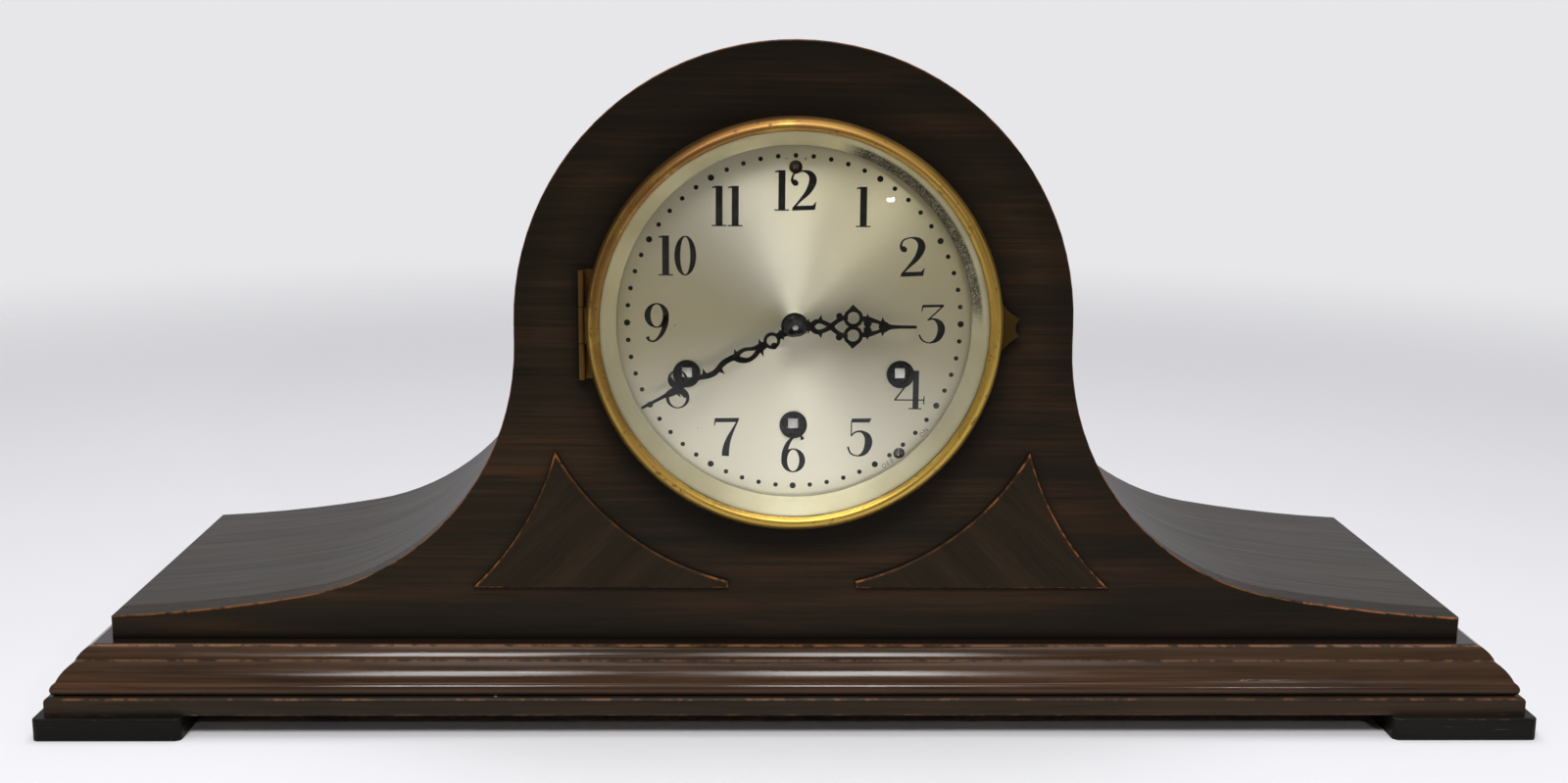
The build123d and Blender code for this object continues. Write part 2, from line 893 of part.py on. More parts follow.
def minute_hand():
    inner_loop = [
        (0.2, 14.6, 0.8),
        (0.6, 16.8, 0.65),
        (1.4, 18.8, 0.65),
        (1.5, 20.4, 0.7),
        (0.8, 22.4, 1.1),
    ]
    outer_loop = [
        (-0.8, 14.6, 0.9),
        (-2.1, 17.0, 0.8),
        (-2.4, 19.4, 0.8),
        (-1.4, 21.6, 1.0),
        (0.4, 23.2, 1.1),
    ]
    stem = [
        (0.6, 22.6, 1.2),
        (0.9, 25.2, 1.0),
        (0.5, 28.6, 1.0),
        (-0.7, 31.4, 1.0),
        (-0.7, 34.8, 0.95),
        (0.4, 38.6, 0.9),
        (0.5, 42.2, 0.95),
        (0.2, 46.0, 1.0),
    ]
    shapes = [
        Circle(minute_hub_radius),
        ribbon([(0, 3.8, 1.8), (0.1, 5.2, 1.4), (0, 7.0, 1.2)]),
        barb(0, 5.4, 2.2, 5.2, 0.9),
        barb(0, 5.4, -2.2, 5.4, 0.9),
        ring(-0.2, 9.2, 2.9, 1.8),
        Pos(-2.2, 9.4) * Circle(1.15),
        ribbon([(-0.3, 11.6, 1.1), (-0.4, 13.4, 1.4), (-0.5, 15.0, 1.3)]),
        barb(-0.2, 13.5, 2.6, 12.9, 1.0),
        barb(-0.7, 13.9, -3.9, 14.4, 1.0),
        ribbon(inner_loop),
        ribbon(outer_loop),
        Pos(0.5, 23.0) * Circle(1.3),
        barb(1.0, 22.4, 3.3, 22.2, 1.1),
        ribbon(stem),
        barb(0.0, 30.2, -2.9, 29.2, 1.2),
        barb(-0.6, 35.6, 2.3, 35.1, 1.2),
        ribbon([(0.2, 45.4, 1.0), (0.0, 47.6, 1.35), (0.0, 50.4, 0.9)]),
        barb(0.0, 47.0, -3.0, 46.6, 1.1),
        ribbon([(0, 49.8, 0.85), (0, 52.0, 0.6), (0, 56.2, 0.52), (0, 60.5, 0.42)]),
    ]
    return hand(shapes, cannon_radius + seat_clearance, minute_hand_station, minute_bearing)


def hand_nut():
    """Domed nut that covers the hub of the minute hand."""
    back = minute_hand_station
    bore = arbor_tip_radius + nut_clearance
    bulge = (nut_radius * nut_bulge[0], back - nut_height * nut_bulge[1])
    edges = [
        Line((bore, back), (nut_radius, back)),
        ThreePointArc((nut_radius, back), bulge, (bore, back - nut_height)),
        Line((bore, back - nut_height), (bore, back)),
    ]
    return turned(make_face(edges))


# Wheels


def gear(teeth, module, toward, tooth_first):
    """Outline of a straight-flanked wheel: a tooth, or else a gap, lies on the bearing toward."""
    pitch_radius = module * teeth / 2
    tip = pitch_radius + tooth_addendum * module
    root = pitch_radius - tooth_dedendum * module
    step = 360 / teeth
    start = toward if tooth_first else toward + step / 2
    points = []
    for i in range(teeth):
        for share, radius in ((-0.25, root), (-0.1, tip), (0.1, tip), (0.25, root)):
            points.append(polar(centre, radius, start + (i + share) * step))
    return Polygon(*points, align=None)


def crossed_out(outline, rim, hub):
    """Cut windows in a wheel, leaving a rim, a hub and spokes."""
    window = Circle(rim) - Circle(hub)
    spoke = Pos(rim / 2, 0) * Rectangle(rim, spoke_width)
    for i in range(spoke_count):
        window -= Rot(0, 0, i * 360 / spoke_count) * spoke
    return outline - window


def wheel_at(place, sketch, front, thickness):
    return slab(on_dial(place) * sketch, front, front + thickness)


def train_arbor(place, radius):
    """An arbor between the plates, with a thinner pivot in each plate."""
    gap = moving_gap / 2
    arbor = rod_at(place, radius, plate_inner + gap, back_plate_station - gap)
    return arbor + rod_at(place, pivot_radius, front_plate_station, movement_back)


def cannon_pinion():
    toward = bearing_of(centre, minute_stud)
    outline = gear(cannon_teeth, motion_module, toward, True)
    pinion = wheel_at(centre, outline, minute_wheel_station, motion_wheel_thickness)
    pinion += rod_at(centre, cannon_radius, minute_hand_station, front_plate_station - moving_gap)
    bore = train_arbor_radius + running_clearance
    return pinion - rod_at(centre, bore, minute_hand_station, front_plate_station)


def minute_wheel():
    toward = bearing_of(minute_stud, centre)
    outline = gear(minute_teeth, motion_module, toward, False)
    outline = crossed_out(outline, motion_module * minute_teeth / 2 - rim_width, hub_radius)
    wheel = wheel_at(minute_stud, outline, minute_wheel_station, motion_wheel_thickness)
    pinion = gear(minute_pinion_teeth, motion_module, toward, False)
    pinion_length = minute_wheel_station - hour_wheel_station
    wheel += wheel_at(minute_stud, pinion, hour_wheel_station, pinion_length)
    bore = minute_stud_radius + running_clearance
    return wheel - rod_at(minute_stud, bore, hour_wheel_station, front_plate_station)


def hour_wheel():
    toward = bearing_of(centre, minute_stud)
    outline = gear(hour_teeth, motion_module, toward, True)
    rim = motion_module * hour_teeth / 2 - rim_width
    outline = crossed_out(outline, rim, hour_pipe_radius + hub_margin)
    wheel = wheel_at(centre, outline, hour_wheel_station, motion_wheel_thickness)
    back = hour_wheel_station + motion_wheel_thickness
    wheel += rod_at(centre, hour_pipe_radius, hour_hand_station, back)
    bore = cannon_radius + running_clearance
    return wheel - rod_at(centre, bore, hour_hand_station, back)


def second_wheel():
    down = bearing_of(second, time)
    up = bearing_of(second, centre)
    rim = great_module * second_teeth / 2 - rim_width
    outline = crossed_out(gear(second_teeth, great_module, up, True), rim, hub_radius)
    part = train_arbor(second, train_arbor_radius)
    part += wheel_at(second, outline, plate_inner + second_wheel_inset, wheel_thickness)
    pinion = gear(second_pinion_teeth, great_module, down, False)
    return part + wheel_at(second, pinion, plate_inner + great_wheel_inset, wheel_thickness)


def centre_wheel():
    """Centre arbor with its wheel and pinion, which reaches through the dial to the hand nut."""
    down = bearing_of(centre, second)
    toward = bearing_of(centre, third)
    rim = fine_module * centre_teeth / 2 - rim_width
    outline = crossed_out(gear(centre_teeth, fine_module, toward, True), rim, hub_radius)
    gap = moving_gap / 2
    part = rod_at(centre, train_arbor_radius, minute_hand_station, back_plate_station - gap)
    part += rod_at(centre, arbor_tip_radius, arbor_tip_station, minute_hand_station)
    part += rod_at(centre, pivot_radius, back_plate_station - gap, movement_back)
    pinion = gear(centre_pinion_teeth, great_module, down, False)
    part += wheel_at(centre, pinion, plate_inner + second_wheel_inset, wheel_thickness)
    return part + wheel_at(centre, outline, plate_inner + centre_wheel_inset, wheel_thickness)


def third_wheel():
    toward = bearing_of(third, escape)
    rim = fine_module * third_teeth / 2 - rim_width
    outline = crossed_out(gear(third_teeth, fine_module, toward, True), rim, hub_radius)
    part = train_arbor(third, train_arbor_radius)
    pinion = gear(third_pinion_teeth, fine_module, bearing_of(third, centre), False)
    part += wheel_at(third, pinion, plate_inner + centre_wheel_inset, wheel_thickness)
    return part + wheel_at(third, outline, plate_inner + third_wheel_inset, wheel_thickness)


def escape_wheel():
    step = 360 / escape_teeth
    root = escape_radius - escape_tooth_depth
    points = []
    for i in range(escape_teeth):
        for share, radius in ((0, escape_radius), (0.12, escape_radius), (0.42, root)):
            points.append(polar(centre, radius, (i + share) * step))
    rim = escape_radius - escape_rim_width
    outline = crossed_out(Polygon(*points, align=None), rim, small_hub_radius)
    part = train_arbor(escape, train_arbor_radius)
    part += wheel_at(escape, outline, plate_inner + escape_wheel_inset, wheel_thickness)
    pinion = gear(escape_pinion_teeth, fine_module, bearing_of(escape, third), False)
    return part + wheel_at(escape, pinion, plate_inner + third_wheel_inset, wheel_thickness)


def pallets():
    """Anchor above the escape wheel, with its arbor and the crutch behind the back plate."""
    reach = escape_radius + pallet_clearance
    span = math.radians(pallet_span_bearing)
    stone_x = reach * math.cos(span) + pallet_stone[0] / 2
    stone_z = escape[1] - pallet[1] + reach * math.sin(span) + pallet_stone[1] / 2
    arm = [(0.6, -0.4, 1.2), (stone_x * 0.56, -1.6, 1.2), (stone_x, stone_z, 1.0)]
    shapes = [Circle(pallet_hub_radius)]
    for side in (-1, 1):
        shapes.append(side_ribbon(side, arm))
        shapes.append(Pos(side * stone_x, stone_z) * Rectangle(*pallet_stone))
    part = wheel_at(pallet, joined(shapes), plate_inner + escape_wheel_inset, wheel_thickness)
    gap = moving_gap / 2
    part += rod_at(pallet, train_arbor_radius, plate_inner + gap, back_plate_station - gap)
    part += rod_at(pallet, pivot_radius, front_plate_station, movement_back + 2 * crutch_inset)
    crutch_front = movement_back + crutch_inset
    width, height = crutch_prong
    fork_z = height / 2 - crutch_length
    fork_width = pendulum_rod_width + 2 * (moving_gap + width)
    strip = Pos(0, -crutch_length / 2) * Rectangle(pendulum_rod_width, crutch_length)
    bridge = Pos(0, fork_z) * Rectangle(fork_width, height)
    crutch = Circle(crutch_hub_radius) + strip + bridge
    part += slab(on_dial(pallet) * crutch, crutch_front, crutch_front + crutch_inset)
    for side in (-1, 1):
        prong = Pos(side * (fork_width - width) / 2, fork_z) * Rectangle(width, height)
        part += slab(on_dial(pallet) * prong, crutch_front, pendulum_front + pendulum_rod_sheet)
    return part


# Winding


def barrel(place, toward):
    """Drum with its great wheel in front, open to the arbor through the middle."""
    front = plate_inner + great_wheel_inset
    drum_front = front + wheel_thickness
    back = drum_front + drum_length
    bore = winding_radius + running_clearance
    part = wheel_at(place, gear(great_teeth, great_module, toward, True), front, wheel_thickness)
    part += rod_at(place, drum_radius, drum_front, back)
    part -= rod_at(place, drum_hollow, drum_front, back - drum_wall)
    return part - rod_at(place, bore, front, back)


def winding_arbor(place):
    """Arbor with a square end behind the dial and a ratchet in front of the front plate."""
    front = dial_front + winding_recess
    shoulder = front + winding_square_length
    back = front_plate_station - ratchet_gap
    part = slab(on_dial(place) * Rectangle(winding_square, winding_square), front, shoulder)
    part += rod_at(place, winding_radius, shoulder, movement_back)
    step = 360 / ratchet_teeth
    points = []
    for i in range(ratchet_teeth):
        points.append(polar(centre, ratchet_radius, i * step))
        points.append(polar(centre, ratchet_radius - ratchet_tooth_depth, (i + 0.9) * step))
    ratchet = Polygon(*points, align=None)
    return part + wheel_at(place, ratchet, back - ratchet_thickness, ratchet_thickness)


def ratchet_clicks():
    """A pawl beside each ratchet, on a stud in the front plate."""
    clicks = []
    back = front_plate_station
    front = back - ratchet_gap - ratchet_thickness
    nose = ratchet_radius + click_clearance
    for place in winding_places.values():
        stud = (place[0], place[1] + nose + click_stud_rise)
        click = rod_at(stud, click_radius, front, back)
        pawl = Polygon(
            (0.9, nose + 2.4),
            (1.4, nose + 4.4),
            (-4.4, nose + 0.9),
            (-3.2, nose - 0.1),
            align=None,
        )
        clicks.append(click + slab(on_dial(place) * pawl, front, front + ratchet_thickness))
    return clicks


def mainsprings():
    """A spiral strip in each drum, made of half turns that step outwards."""
    drum_front = plate_inner + great_wheel_inset + wheel_thickness
    front = drum_front + moving_gap
    back = drum_front + drum_length - drum_wall - moving_gap
    coils = []
    for place in winding_places.values():
        edges = []
        for sheet in (0, spring_sheet):
            side = []
            for half in range(2 * spring_turns):
                radius = spring_inner_radius + sheet + half * spring_pitch / 2
                shift = spring_pitch / 4 if half % 2 else -spring_pitch / 4
                sign = -1 if half % 2 else 1
                start = (shift + sign * (radius + spring_pitch / 4), 0)
                turn = (shift, sign * (radius + spring_pitch / 4))
                end = (shift - sign * (radius + spring_pitch / 4), 0)
                side.append(ThreePointArc(start, turn, end))
            edges.append(side)
        caps = [Line(edges[0][i] @ i_end, edges[1][i] @ i_end) for i, i_end in ((0, 0), (-1, 1))]
        strip = make_face(edges[0] + edges[1] + caps)
        coils.append(slab(on_dial(place) * strip, front, back))
    return coils


# Movement frame


def corner_places(inset):
    x = plate_half_width - inset[0]
    z = plate_half_height - inset[1]
    return [(sx * x, sz * z) for sx in (-1, 1) for sz in (-1, 1)]


def post_places():
    return corner_places(post_inset)


def plate(station):
    back = station + plate_thickness
    board = chamfer(Rectangle(2 * plate_half_width, 2 * plate_half_height).vertices(), plate_corner)
    part = slab(on_dial(centre) * board, station, back)
    for place in train_places + (pallet,):
        part -= rod_at(place, pivot_radius + running_clearance, station, back)
    for place in winding_places.values():
        part -= rod_at(place, winding_radius + running_clearance, station, back)
    return part - rod_at(regulator_place, small_arbor_radius + running_clearance, station, back)


def movement_front_plate():
    back = plate_inner
    front = front_plate_station
    part = plate(front)
    part -= rod_at(centre, train_arbor_radius + moving_gap, front, back)
    part -= rod_at(selector_place, small_arbor_radius + running_clearance, front, back)
    for place in post_places():
        part -= rod_at(place, screw_radius + running_clearance, front, back)
    return part + rod_at(minute_stud, minute_stud_radius, hour_wheel_station, front)


def movement_back_plate():
    front = back_plate_station
    return plate(front) - rod_at(centre, pivot_radius + running_clearance, front, movement_back)


def plate_pillars():
    places = corner_places(pillar_inset)
    return [rod_at(place, pillar_radius, plate_inner, back_plate_station) for place in places]


def mounting_posts():
    posts = []
    for place in post_places():
        post = rod_at(place, post_radius, panel_thickness, front_plate_station)
        bore = screw_radius + running_clearance
        posts.append(post - rod_at(place, bore, panel_thickness, front_plate_station))
    return posts


def mounting_screws():
    screws = []
    for place in post_places():
        screw = rod_at(place, screw_head_radius, plate_inner, plate_inner + screw_head)
        screws.append(screw + rod_at(place, screw_radius, panel_thickness - screw_bite, plate_inner))
    return screws


# Regulation


def suspension_cock():
    """Bracket on the back plate with the stud that the pendulum hangs from."""
    stud_back = pendulum_front + pendulum_rod_sheet + moving_gap
    x = pallet[0]
    low = dial_z + pallet[1] - cock_drop
    high = dial_z + pallet[1] + cock_rise
    corner = (x + cock_half_width, front_y + stud_back + cock_sheet, high + cock_sheet)
    arm = box_between((x - cock_half_width, front_y + movement_back, high), corner)
    arm += box_between((x - cock_half_width, front_y + stud_back, low), corner)
    return arm + rod_at(pallet, stud_radius, pendulum_front - moving_gap, stud_back)


def pendulum_rod():
    eye = Circle(stud_radius + pendulum_eye_margin)
    strip = Pos(0, -pendulum_length / 2) * Rectangle(pendulum_rod_width, pendulum_length)
    sketch = eye + strip - Circle(stud_radius + running_clearance)
    return slab(on_dial(pallet) * sketch, pendulum_front, pendulum_front + pendulum_rod_sheet)


def pendulum_bob():
    """Brass disc with a domed front and back, slotted over the rod."""
    place = (pallet[0], pallet[1] - pendulum_length + bob_radius * bob_rise_share)
    middle = pendulum_front + pendulum_rod_sheet / 2
    disc = rod_at(place, bob_radius, middle - bob_thickness / 2, middle + bob_thickness / 2)
    disc = fillet(disc.edges(), bob_thickness * bob_edge_share)
    half = pendulum_rod_width / 2 + seat_clearance
    depth = pendulum_rod_sheet / 2 + seat_clearance
    slot = box_between(
        (place[0] - half, front_y + middle - depth, dial_z + place[1] - bob_radius - 1),
        (place[0] + half, front_y + middle + depth, dial_z + place[1] + bob_radius + 1),
    )
    return disc - slot


def regulator_arbor():
    """Arbor from the dial to behind the back plate, where a collar meets the cock."""
    square = small_arbor_radius * math.sqrt(2) - regulator_square_easing
    front = dial_front + winding_recess
    shoulder = front + regulator_square_length
    back = movement_back + regulator_tail
    collar = small_arbor_radius + regulator_collar_margin
    part = slab(on_dial(regulator_place) * Rectangle(square, square), front, shoulder)
    part += rod_at(regulator_place, small_arbor_radius, shoulder, back)
    return part + rod_at(regulator_place, collar, movement_back + regulator_collar_gap, back)


def selector_arbor():
    """Short arbor with the lever that silences the chime."""
    front = dial_front + winding_recess
    lever_front = panel_thickness + selector_lever_gap
    lever_back = lever_front + selector_lever_thickness
    slot = Rectangle(selector_slot_width, 3 * small_arbor_radius)
    part = rod_at(selector_place, small_arbor_radius, front, plate_inner)
    part -= slab(on_dial(selector_place) * slot, front, front + selector_slot_depth)
    hub = Circle(small_arbor_radius + selector_hub_margin)
    lever = ribbon([(0, 0, 2.0), (-6, 2.5, 1.4), (-12, 3.0, 1.2)])
    return part + slab(on_dial(selector_place) * (hub + lever), lever_front, lever_back)


# Chime


rod_z = case_bottom + rod_rise
rod_stations = [rod_first_station + rod_pitch * i for i in range(rod_count)]
rail_z = case_bottom + rail_place[1]


def bar_along_x(station, z, radius, left, right):
    plane = Plane(origin=(left, front_y + station, z), x_dir=(0, 1, 0), z_dir=(1, 0, 0))
    return extrude(plane * Circle(radius), amount=right - left)


def chime_rods():
    rods = []
    for i, station in enumerate(rod_stations):
        left = block_place - rod_longest + rod_step * i
        rods.append(bar_along_x(station, rod_z, rod_radius, left, block_place + block_length / 2))
    return rods


def rod_block():
    front = front_y + rod_stations[0] - block_margin
    back = front_y + rod_stations[-1] + block_margin
    right = block_place + block_length
    block = box_between((block_place, front, case_bottom), (right, back, case_bottom + block_height))
    block = chamfer(block.edges().group_by(Axis.Z)[-1], block_chamfer)
    for station in rod_stations:
        block -= bar_along_x(station, rod_z, rod_radius, block_place, block_place + block_length / 2)
    return block


def hammer_rail():
    """Bracket on the back plate that carries the rail the hammers hang on."""
    x = rail_place[0]
    back = front_y + movement_back
    rail_front = back + rail_foot_thickness
    end = front_y + rod_stations[-1] + rod_pitch / 2
    foot = box_between(
        (plate_half_width - rail_foot_overlap, back, rail_z - rail_foot_drop),
        (x + 2 * rail_radius, rail_front, rail_z + rail_foot_rise),
    )
    plane = Plane(origin=(x, rail_front, rail_z), x_dir=(1, 0, 0), z_dir=(0, 1, 0))
    return foot + extrude(plane * Circle(rail_radius), amount=end - rail_front)


def hammer(station):
    """Hub, bent arm and a head that hangs just above its rod."""
    head_low = rod_z + rod_radius + hammer_gap
    head_high = head_low + hammer_head_height
    x, z = rail_place[0], rail_z
    head_x = x + hammer_reach
    front = station - hammer_sheet / 2
    back = station + hammer_sheet / 2
    half = hammer_arm_half
    arm = make_face(
        Polyline(
            (x - half, z),
            (x + half, z + half),
            (head_x + half, head_high + 2 * half),
            (head_x + half, head_high),
            (head_x - half, head_high),
            close=True,
        )
    )
    part = slab(Pos(x, z) * Circle(hammer_hub_radius) + arm, front, back)
    plane = Plane(origin=(head_x, front_y + station, head_low), x_dir=(1, 0, 0), z_dir=(0, 0, 1))
    part += extrude(plane * Circle(hammer_head_radius), amount=hammer_head_height)
    return part - slab(Pos(x, z) * Circle(rail_radius + running_clearance), front, back)


write("front_panel", front_panel())
write("case_top", case_top())
write("back_panel", back_panel())
write("case_floor", case_floor())
write("spandrel_overlays", spandrel_overlay(-1), spandrel_overlay(1))
write("base_moulding", base_moulding())
write("base_plinth", base_plinth())
write("block_feet", *block_feet())
write("rear_door", rear_door())
write("rear_hinge_case_leaves", *rear_hinge_part(1, (0, 2)))
write("rear_hinge_door_leaves", *rear_hinge_part(-1, (1,)))
write("rear_hinge_pins", *rear_hinge_pins())
write("rear_door_knob", rear_door_knob())
write("bezel_ring", bezel_ring())
write("bezel_glass", bezel_glass())
write("sight_ring", sight_ring())
write("bezel_hinge_case_leaf", bezel_hinge_case_leaf())
write("bezel_hinge_bezel_leaf", bezel_hinge_bezel_leaf())
write("bezel_hinge_pin", bezel_hinge_pin())
write("bezel_catch_tab", bezel_catch_tab())
write("bezel_catch_keeper", bezel_catch_keeper())
write("dial_plate", dial_plate())
write("winding_hole_collars", *winding_hole_collars())
write("dial_screws", *dial_screws())
write("hour_hand", hour_hand())
write("minute_hand", minute_hand())
write("hand_nut", hand_nut())
write("cannon_pinion", cannon_pinion())
write("minute_wheel", minute_wheel())
write("hour_wheel", hour_wheel())
write("second_wheel", second_wheel())
write("centre_wheel", centre_wheel())
write("third_wheel", third_wheel())
write("escape_wheel", escape_wheel())
write("pallets", pallets())
for train, place in winding_places.items():
    write(f"{train}_barrel", barrel(place, bearing_of(place, second)))
    write(f"{train}_winding_arbor", winding_arbor(place))
write("ratchet_clicks", *ratchet_clicks())
write("mainsprings", *mainsprings())
write("movement_front_plate", movement_front_plate())
write("movement_back_plate", movement_back_plate())
write("plate_pillars", *plate_pillars())
write("mounting_posts", *mounting_posts())
write("mounting_screws", *mounting_screws())
write("suspension_cock", suspension_cock())
write("pendulum_rod", pendulum_rod())
write("pendulum_bob", pendulum_bob())
write("regulator_arbor", regulator_arbor())
write("selector_arbor", selector_arbor())
write("chime_rods", *chime_rods())
write("rod_block", rod_block())
write("hammer_rail", hammer_rail())
for number, station in enumerate(rod_stations, start=1):
    write(f"hammer_{number}", hammer(station))
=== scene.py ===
import math

import bmesh
import bpy
from mathutils import Matrix, Vector


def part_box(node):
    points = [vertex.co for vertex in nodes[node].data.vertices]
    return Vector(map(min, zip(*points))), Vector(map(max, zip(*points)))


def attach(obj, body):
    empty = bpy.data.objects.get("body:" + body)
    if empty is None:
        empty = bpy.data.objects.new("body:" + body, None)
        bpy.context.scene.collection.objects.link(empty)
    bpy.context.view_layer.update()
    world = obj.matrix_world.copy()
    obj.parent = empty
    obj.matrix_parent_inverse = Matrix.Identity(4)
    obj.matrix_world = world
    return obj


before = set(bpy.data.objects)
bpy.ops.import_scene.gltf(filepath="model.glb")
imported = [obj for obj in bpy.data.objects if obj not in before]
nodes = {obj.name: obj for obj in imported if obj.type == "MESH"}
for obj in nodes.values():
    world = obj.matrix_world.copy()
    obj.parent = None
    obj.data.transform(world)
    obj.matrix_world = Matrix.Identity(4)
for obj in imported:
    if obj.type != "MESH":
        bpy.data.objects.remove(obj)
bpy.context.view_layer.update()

# Lengths are in metres. +Z is up and the dial faces -Y.
MM = 0.001

# Places read from the frame
panel_low, panel_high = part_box("front_panel")
dial_low, dial_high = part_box("dial_plate")
plinth_low, plinth_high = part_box("base_plinth")
overlay_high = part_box("spandrel_overlays")[1]
bezel_low, bezel_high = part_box("bezel_ring")
sight_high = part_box("sight_ring")[1]
FRONT_Y = panel_low.y
CASE_BOTTOM = panel_low.z
CASE_HALF_WIDTH = panel_high.x
DIAL_RADIUS = (dial_high.x - dial_low.x) / 2
DIAL_CENTRE = Vector((0, dial_low.y, (dial_low.z + dial_high.z) / 2))
ARCH_RADIUS = panel_high.z - DIAL_CENTRE.z
BEZEL_RADIUS = (bezel_high.z - bezel_low.z) / 2
PLINTH_TOP = plinth_high.z

# Print on the dial
PRINT_THICKNESS = 0.05 * MM
DOT_CIRCLE = 58.8 * MM
MINUTE_DOT_RADIUS = 0.82 * MM
HOUR_DOT_RADIUS = 1.1 * MM
NUMERAL_CIRCLE = 47.5 * MM
MARK_CIRCLE = 61.0 * MM
MARK_HEIGHT = 1.7 * MM
OFF_BEARING = 146.0
ON_BEARING = 130.0
SIGN_CIRCLE = DOT_CIRCLE - 1.0 * MM
SIGN_BEARING = 3.3

# Wear on the ends of the arbors at the dial
KEY_WEAR_CIRCLE = 48.0 * MM
KEY_WEAR_DEPTH = 3.0 * MM
SMALL_TIP_CIRCLE = 62.5 * MM

# Camera
IMAGE_WIDTH = 1600
SENSOR_WIDTH = 36.0
FOCAL_PIXELS = 1782.66
CAMERA_FROM_FRONT = Vector((-19.0, -606.2, 242.1)) * MM
CAMERA_YAW = math.radians(1.465)
CAMERA_PITCH = math.radians(11.205)
CAMERA_ROLL = math.radians(-0.521)


# Materials


class Graph:
    """Nodes of one material, placed by the object's own coordinates."""

    def __init__(self, name):
        self.material = bpy.data.materials.new(name)
        self.material.use_nodes = True
        self.tree = self.material.node_tree
        self.tree.nodes.clear()
        place = self.node("ShaderNodeTexCoord")
        self.place = place.outputs["Object"]
        self.normal = place.outputs["Normal"]
        axes = self.node("ShaderNodeSeparateXYZ", {0: self.place})
        self.x, self.y, self.z = axes.outputs
        facing = self.node("ShaderNodeSeparateXYZ", {0: self.normal})
        self.normal_x, self.normal_y, self.normal_z = facing.outputs

    def node(self, kind, inputs=None, **settings):
        made = self.tree.nodes.new(kind)
        for key, value in settings.items():
            setattr(made, key, value)
        for key, value in (inputs or {}).items():
            self.feed(made.inputs[key], value)
        return made

    def feed(self, socket, value):
        if isinstance(value, bpy.types.NodeSocket):
            self.tree.links.new(value, socket)
        elif socket.type == "RGBA" and len(value) == 3:
            socket.default_value = (*value, 1)
        else:
            socket.default_value = value

    def math(self, operation, *values):
        inputs = dict(enumerate(values))
        return self.node("ShaderNodeMath", inputs, operation=operation).outputs[0]

    def add(self, *values):
        total = values[0]
        for value in values[1:]:
            total = self.math("ADD", total, value)
        return total

    def times(self, *values):
        total = values[0]
        for value in values[1:]:
            total = self.math("MULTIPLY", total, value)
        return total

    def inverse(self, value):
        return self.math("SUBTRACT", 1.0, value)

    def ease(self, value, start, end, low=0.0, high=1.0):
        """A smooth change from low at start to high at end."""
        inputs = {"Value": value, "From Min": start, "From Max": end, "To Min": low, "To Max": high}
        return self.node("ShaderNodeMapRange", inputs, interpolation_type="SMOOTHSTEP").outputs[0]

    def band(self, value, middle, half):
        """One at the middle and none beyond the half width."""
        distance = self.math("ABSOLUTE", self.math("SUBTRACT", value, middle))
        return self.ease(distance, half, 0.0)

    def sector(self, bearing, middle, half):
        """A band round the dial: one at the middle bearing and none beyond the half width, in turns."""
        return self.band(self.math("FRACT", self.add(bearing, 1.5 - middle)), 0.5, half)

    def combine(self, x, y, z):
        return self.node("ShaderNodeCombineXYZ", {0: x, 1: y, 2: z}).outputs[0]

    def scaled(self, scale, vector=None):
        inputs = {"Vector": vector or self.place, "Scale": scale}
        return self.node("ShaderNodeMapping", inputs).outputs[0]

    def noise(self, scale, detail=4.0, roughness=0.55, distortion=0.0, vector=None):
        inputs = {
            "Vector": self.scaled(scale, vector),
            "Scale": 1.0,
            "Detail": detail,
            "Roughness": roughness,
            "Distortion": distortion,
        }
        return self.node("ShaderNodeTexNoise", inputs).outputs[0]

    def ramp(self, value, stops):
        made = self.node("ShaderNodeValToRGB", {0: value})
        elements = made.color_ramp.elements
        while len(elements) < len(stops):
            elements.new(0.5)
        for element, (position, colour) in zip(elements, stops):
            element.position = position
            element.color = (*colour, 1)
        return made.outputs[0]

    def mix(self, factor, first, second, blend="MIX"):
        made = self.node("ShaderNodeMix", data_type="RGBA", blend_type=blend)
        for index, value in ((0, factor), (6, first), (7, second)):
            self.feed(made.inputs[index], value)
        return made.outputs[2]

    def crevice(self, distance):
        """None in a narrow corner and one on an open surface."""
        made = self.node("ShaderNodeAmbientOcclusion", {"Distance": distance}, samples=6)
        return made.outputs["AO"]

    def bump(self, height, depth, strength=1.0):
        inputs = {"Height": height, "Distance": depth, "Strength": strength}
        return self.node("ShaderNodeBump", inputs).outputs[0]

    def surface(self, **inputs):
        named = {}
        for key, value in inputs.items():
            named[key.replace("_", " ").title().replace("Ior", "IOR")] = value
        shader = self.node("ShaderNodeBsdfPrincipled", named)
        output = self.node("ShaderNodeOutputMaterial")
        self.tree.links.new(shader.outputs[0], output.inputs[0])
        return shader, output


def from_dial_axis(g):
    """Distance from the dial's axis, and the bearing clockwise from twelve in turns."""
    up = g.math("SUBTRACT", g.z, DIAL_CENTRE.z)
    distance = g.math("SQRT", g.add(g.times(g.x, g.x), g.times(up, up)))
    bearing = g.math("DIVIDE", g.math("ARCTAN2", g.x, up), 2 * math.pi)
    return distance, g.math("FRACT", g.add(bearing, 1.0))


def specks(g, pitch, share, size):
    """A mask of small scattered marks: pitch between cells, share of cells marked, size of a mark."""
    inputs = {"Vector": g.scaled((1 / pitch, 1 / pitch, 1 / pitch)), "Scale": 1.0, "Randomness": 1.0}
    cells = g.node("ShaderNodeTexVoronoi", inputs)
    chance = g.node("ShaderNodeSeparateColor", {0: cells.outputs["Color"]}).outputs[0]
    chosen = g.math("LESS_THAN", chance, share)
    return g.times(chosen, g.ease(cells.outputs["Distance"], size / pitch, 0.4 * size / pitch))


FINE_GRAIN = 640.0
BROAD_GRAIN = 62.0
PORE_GRAIN = 1500.0
GRAIN_STRETCH = 42.0


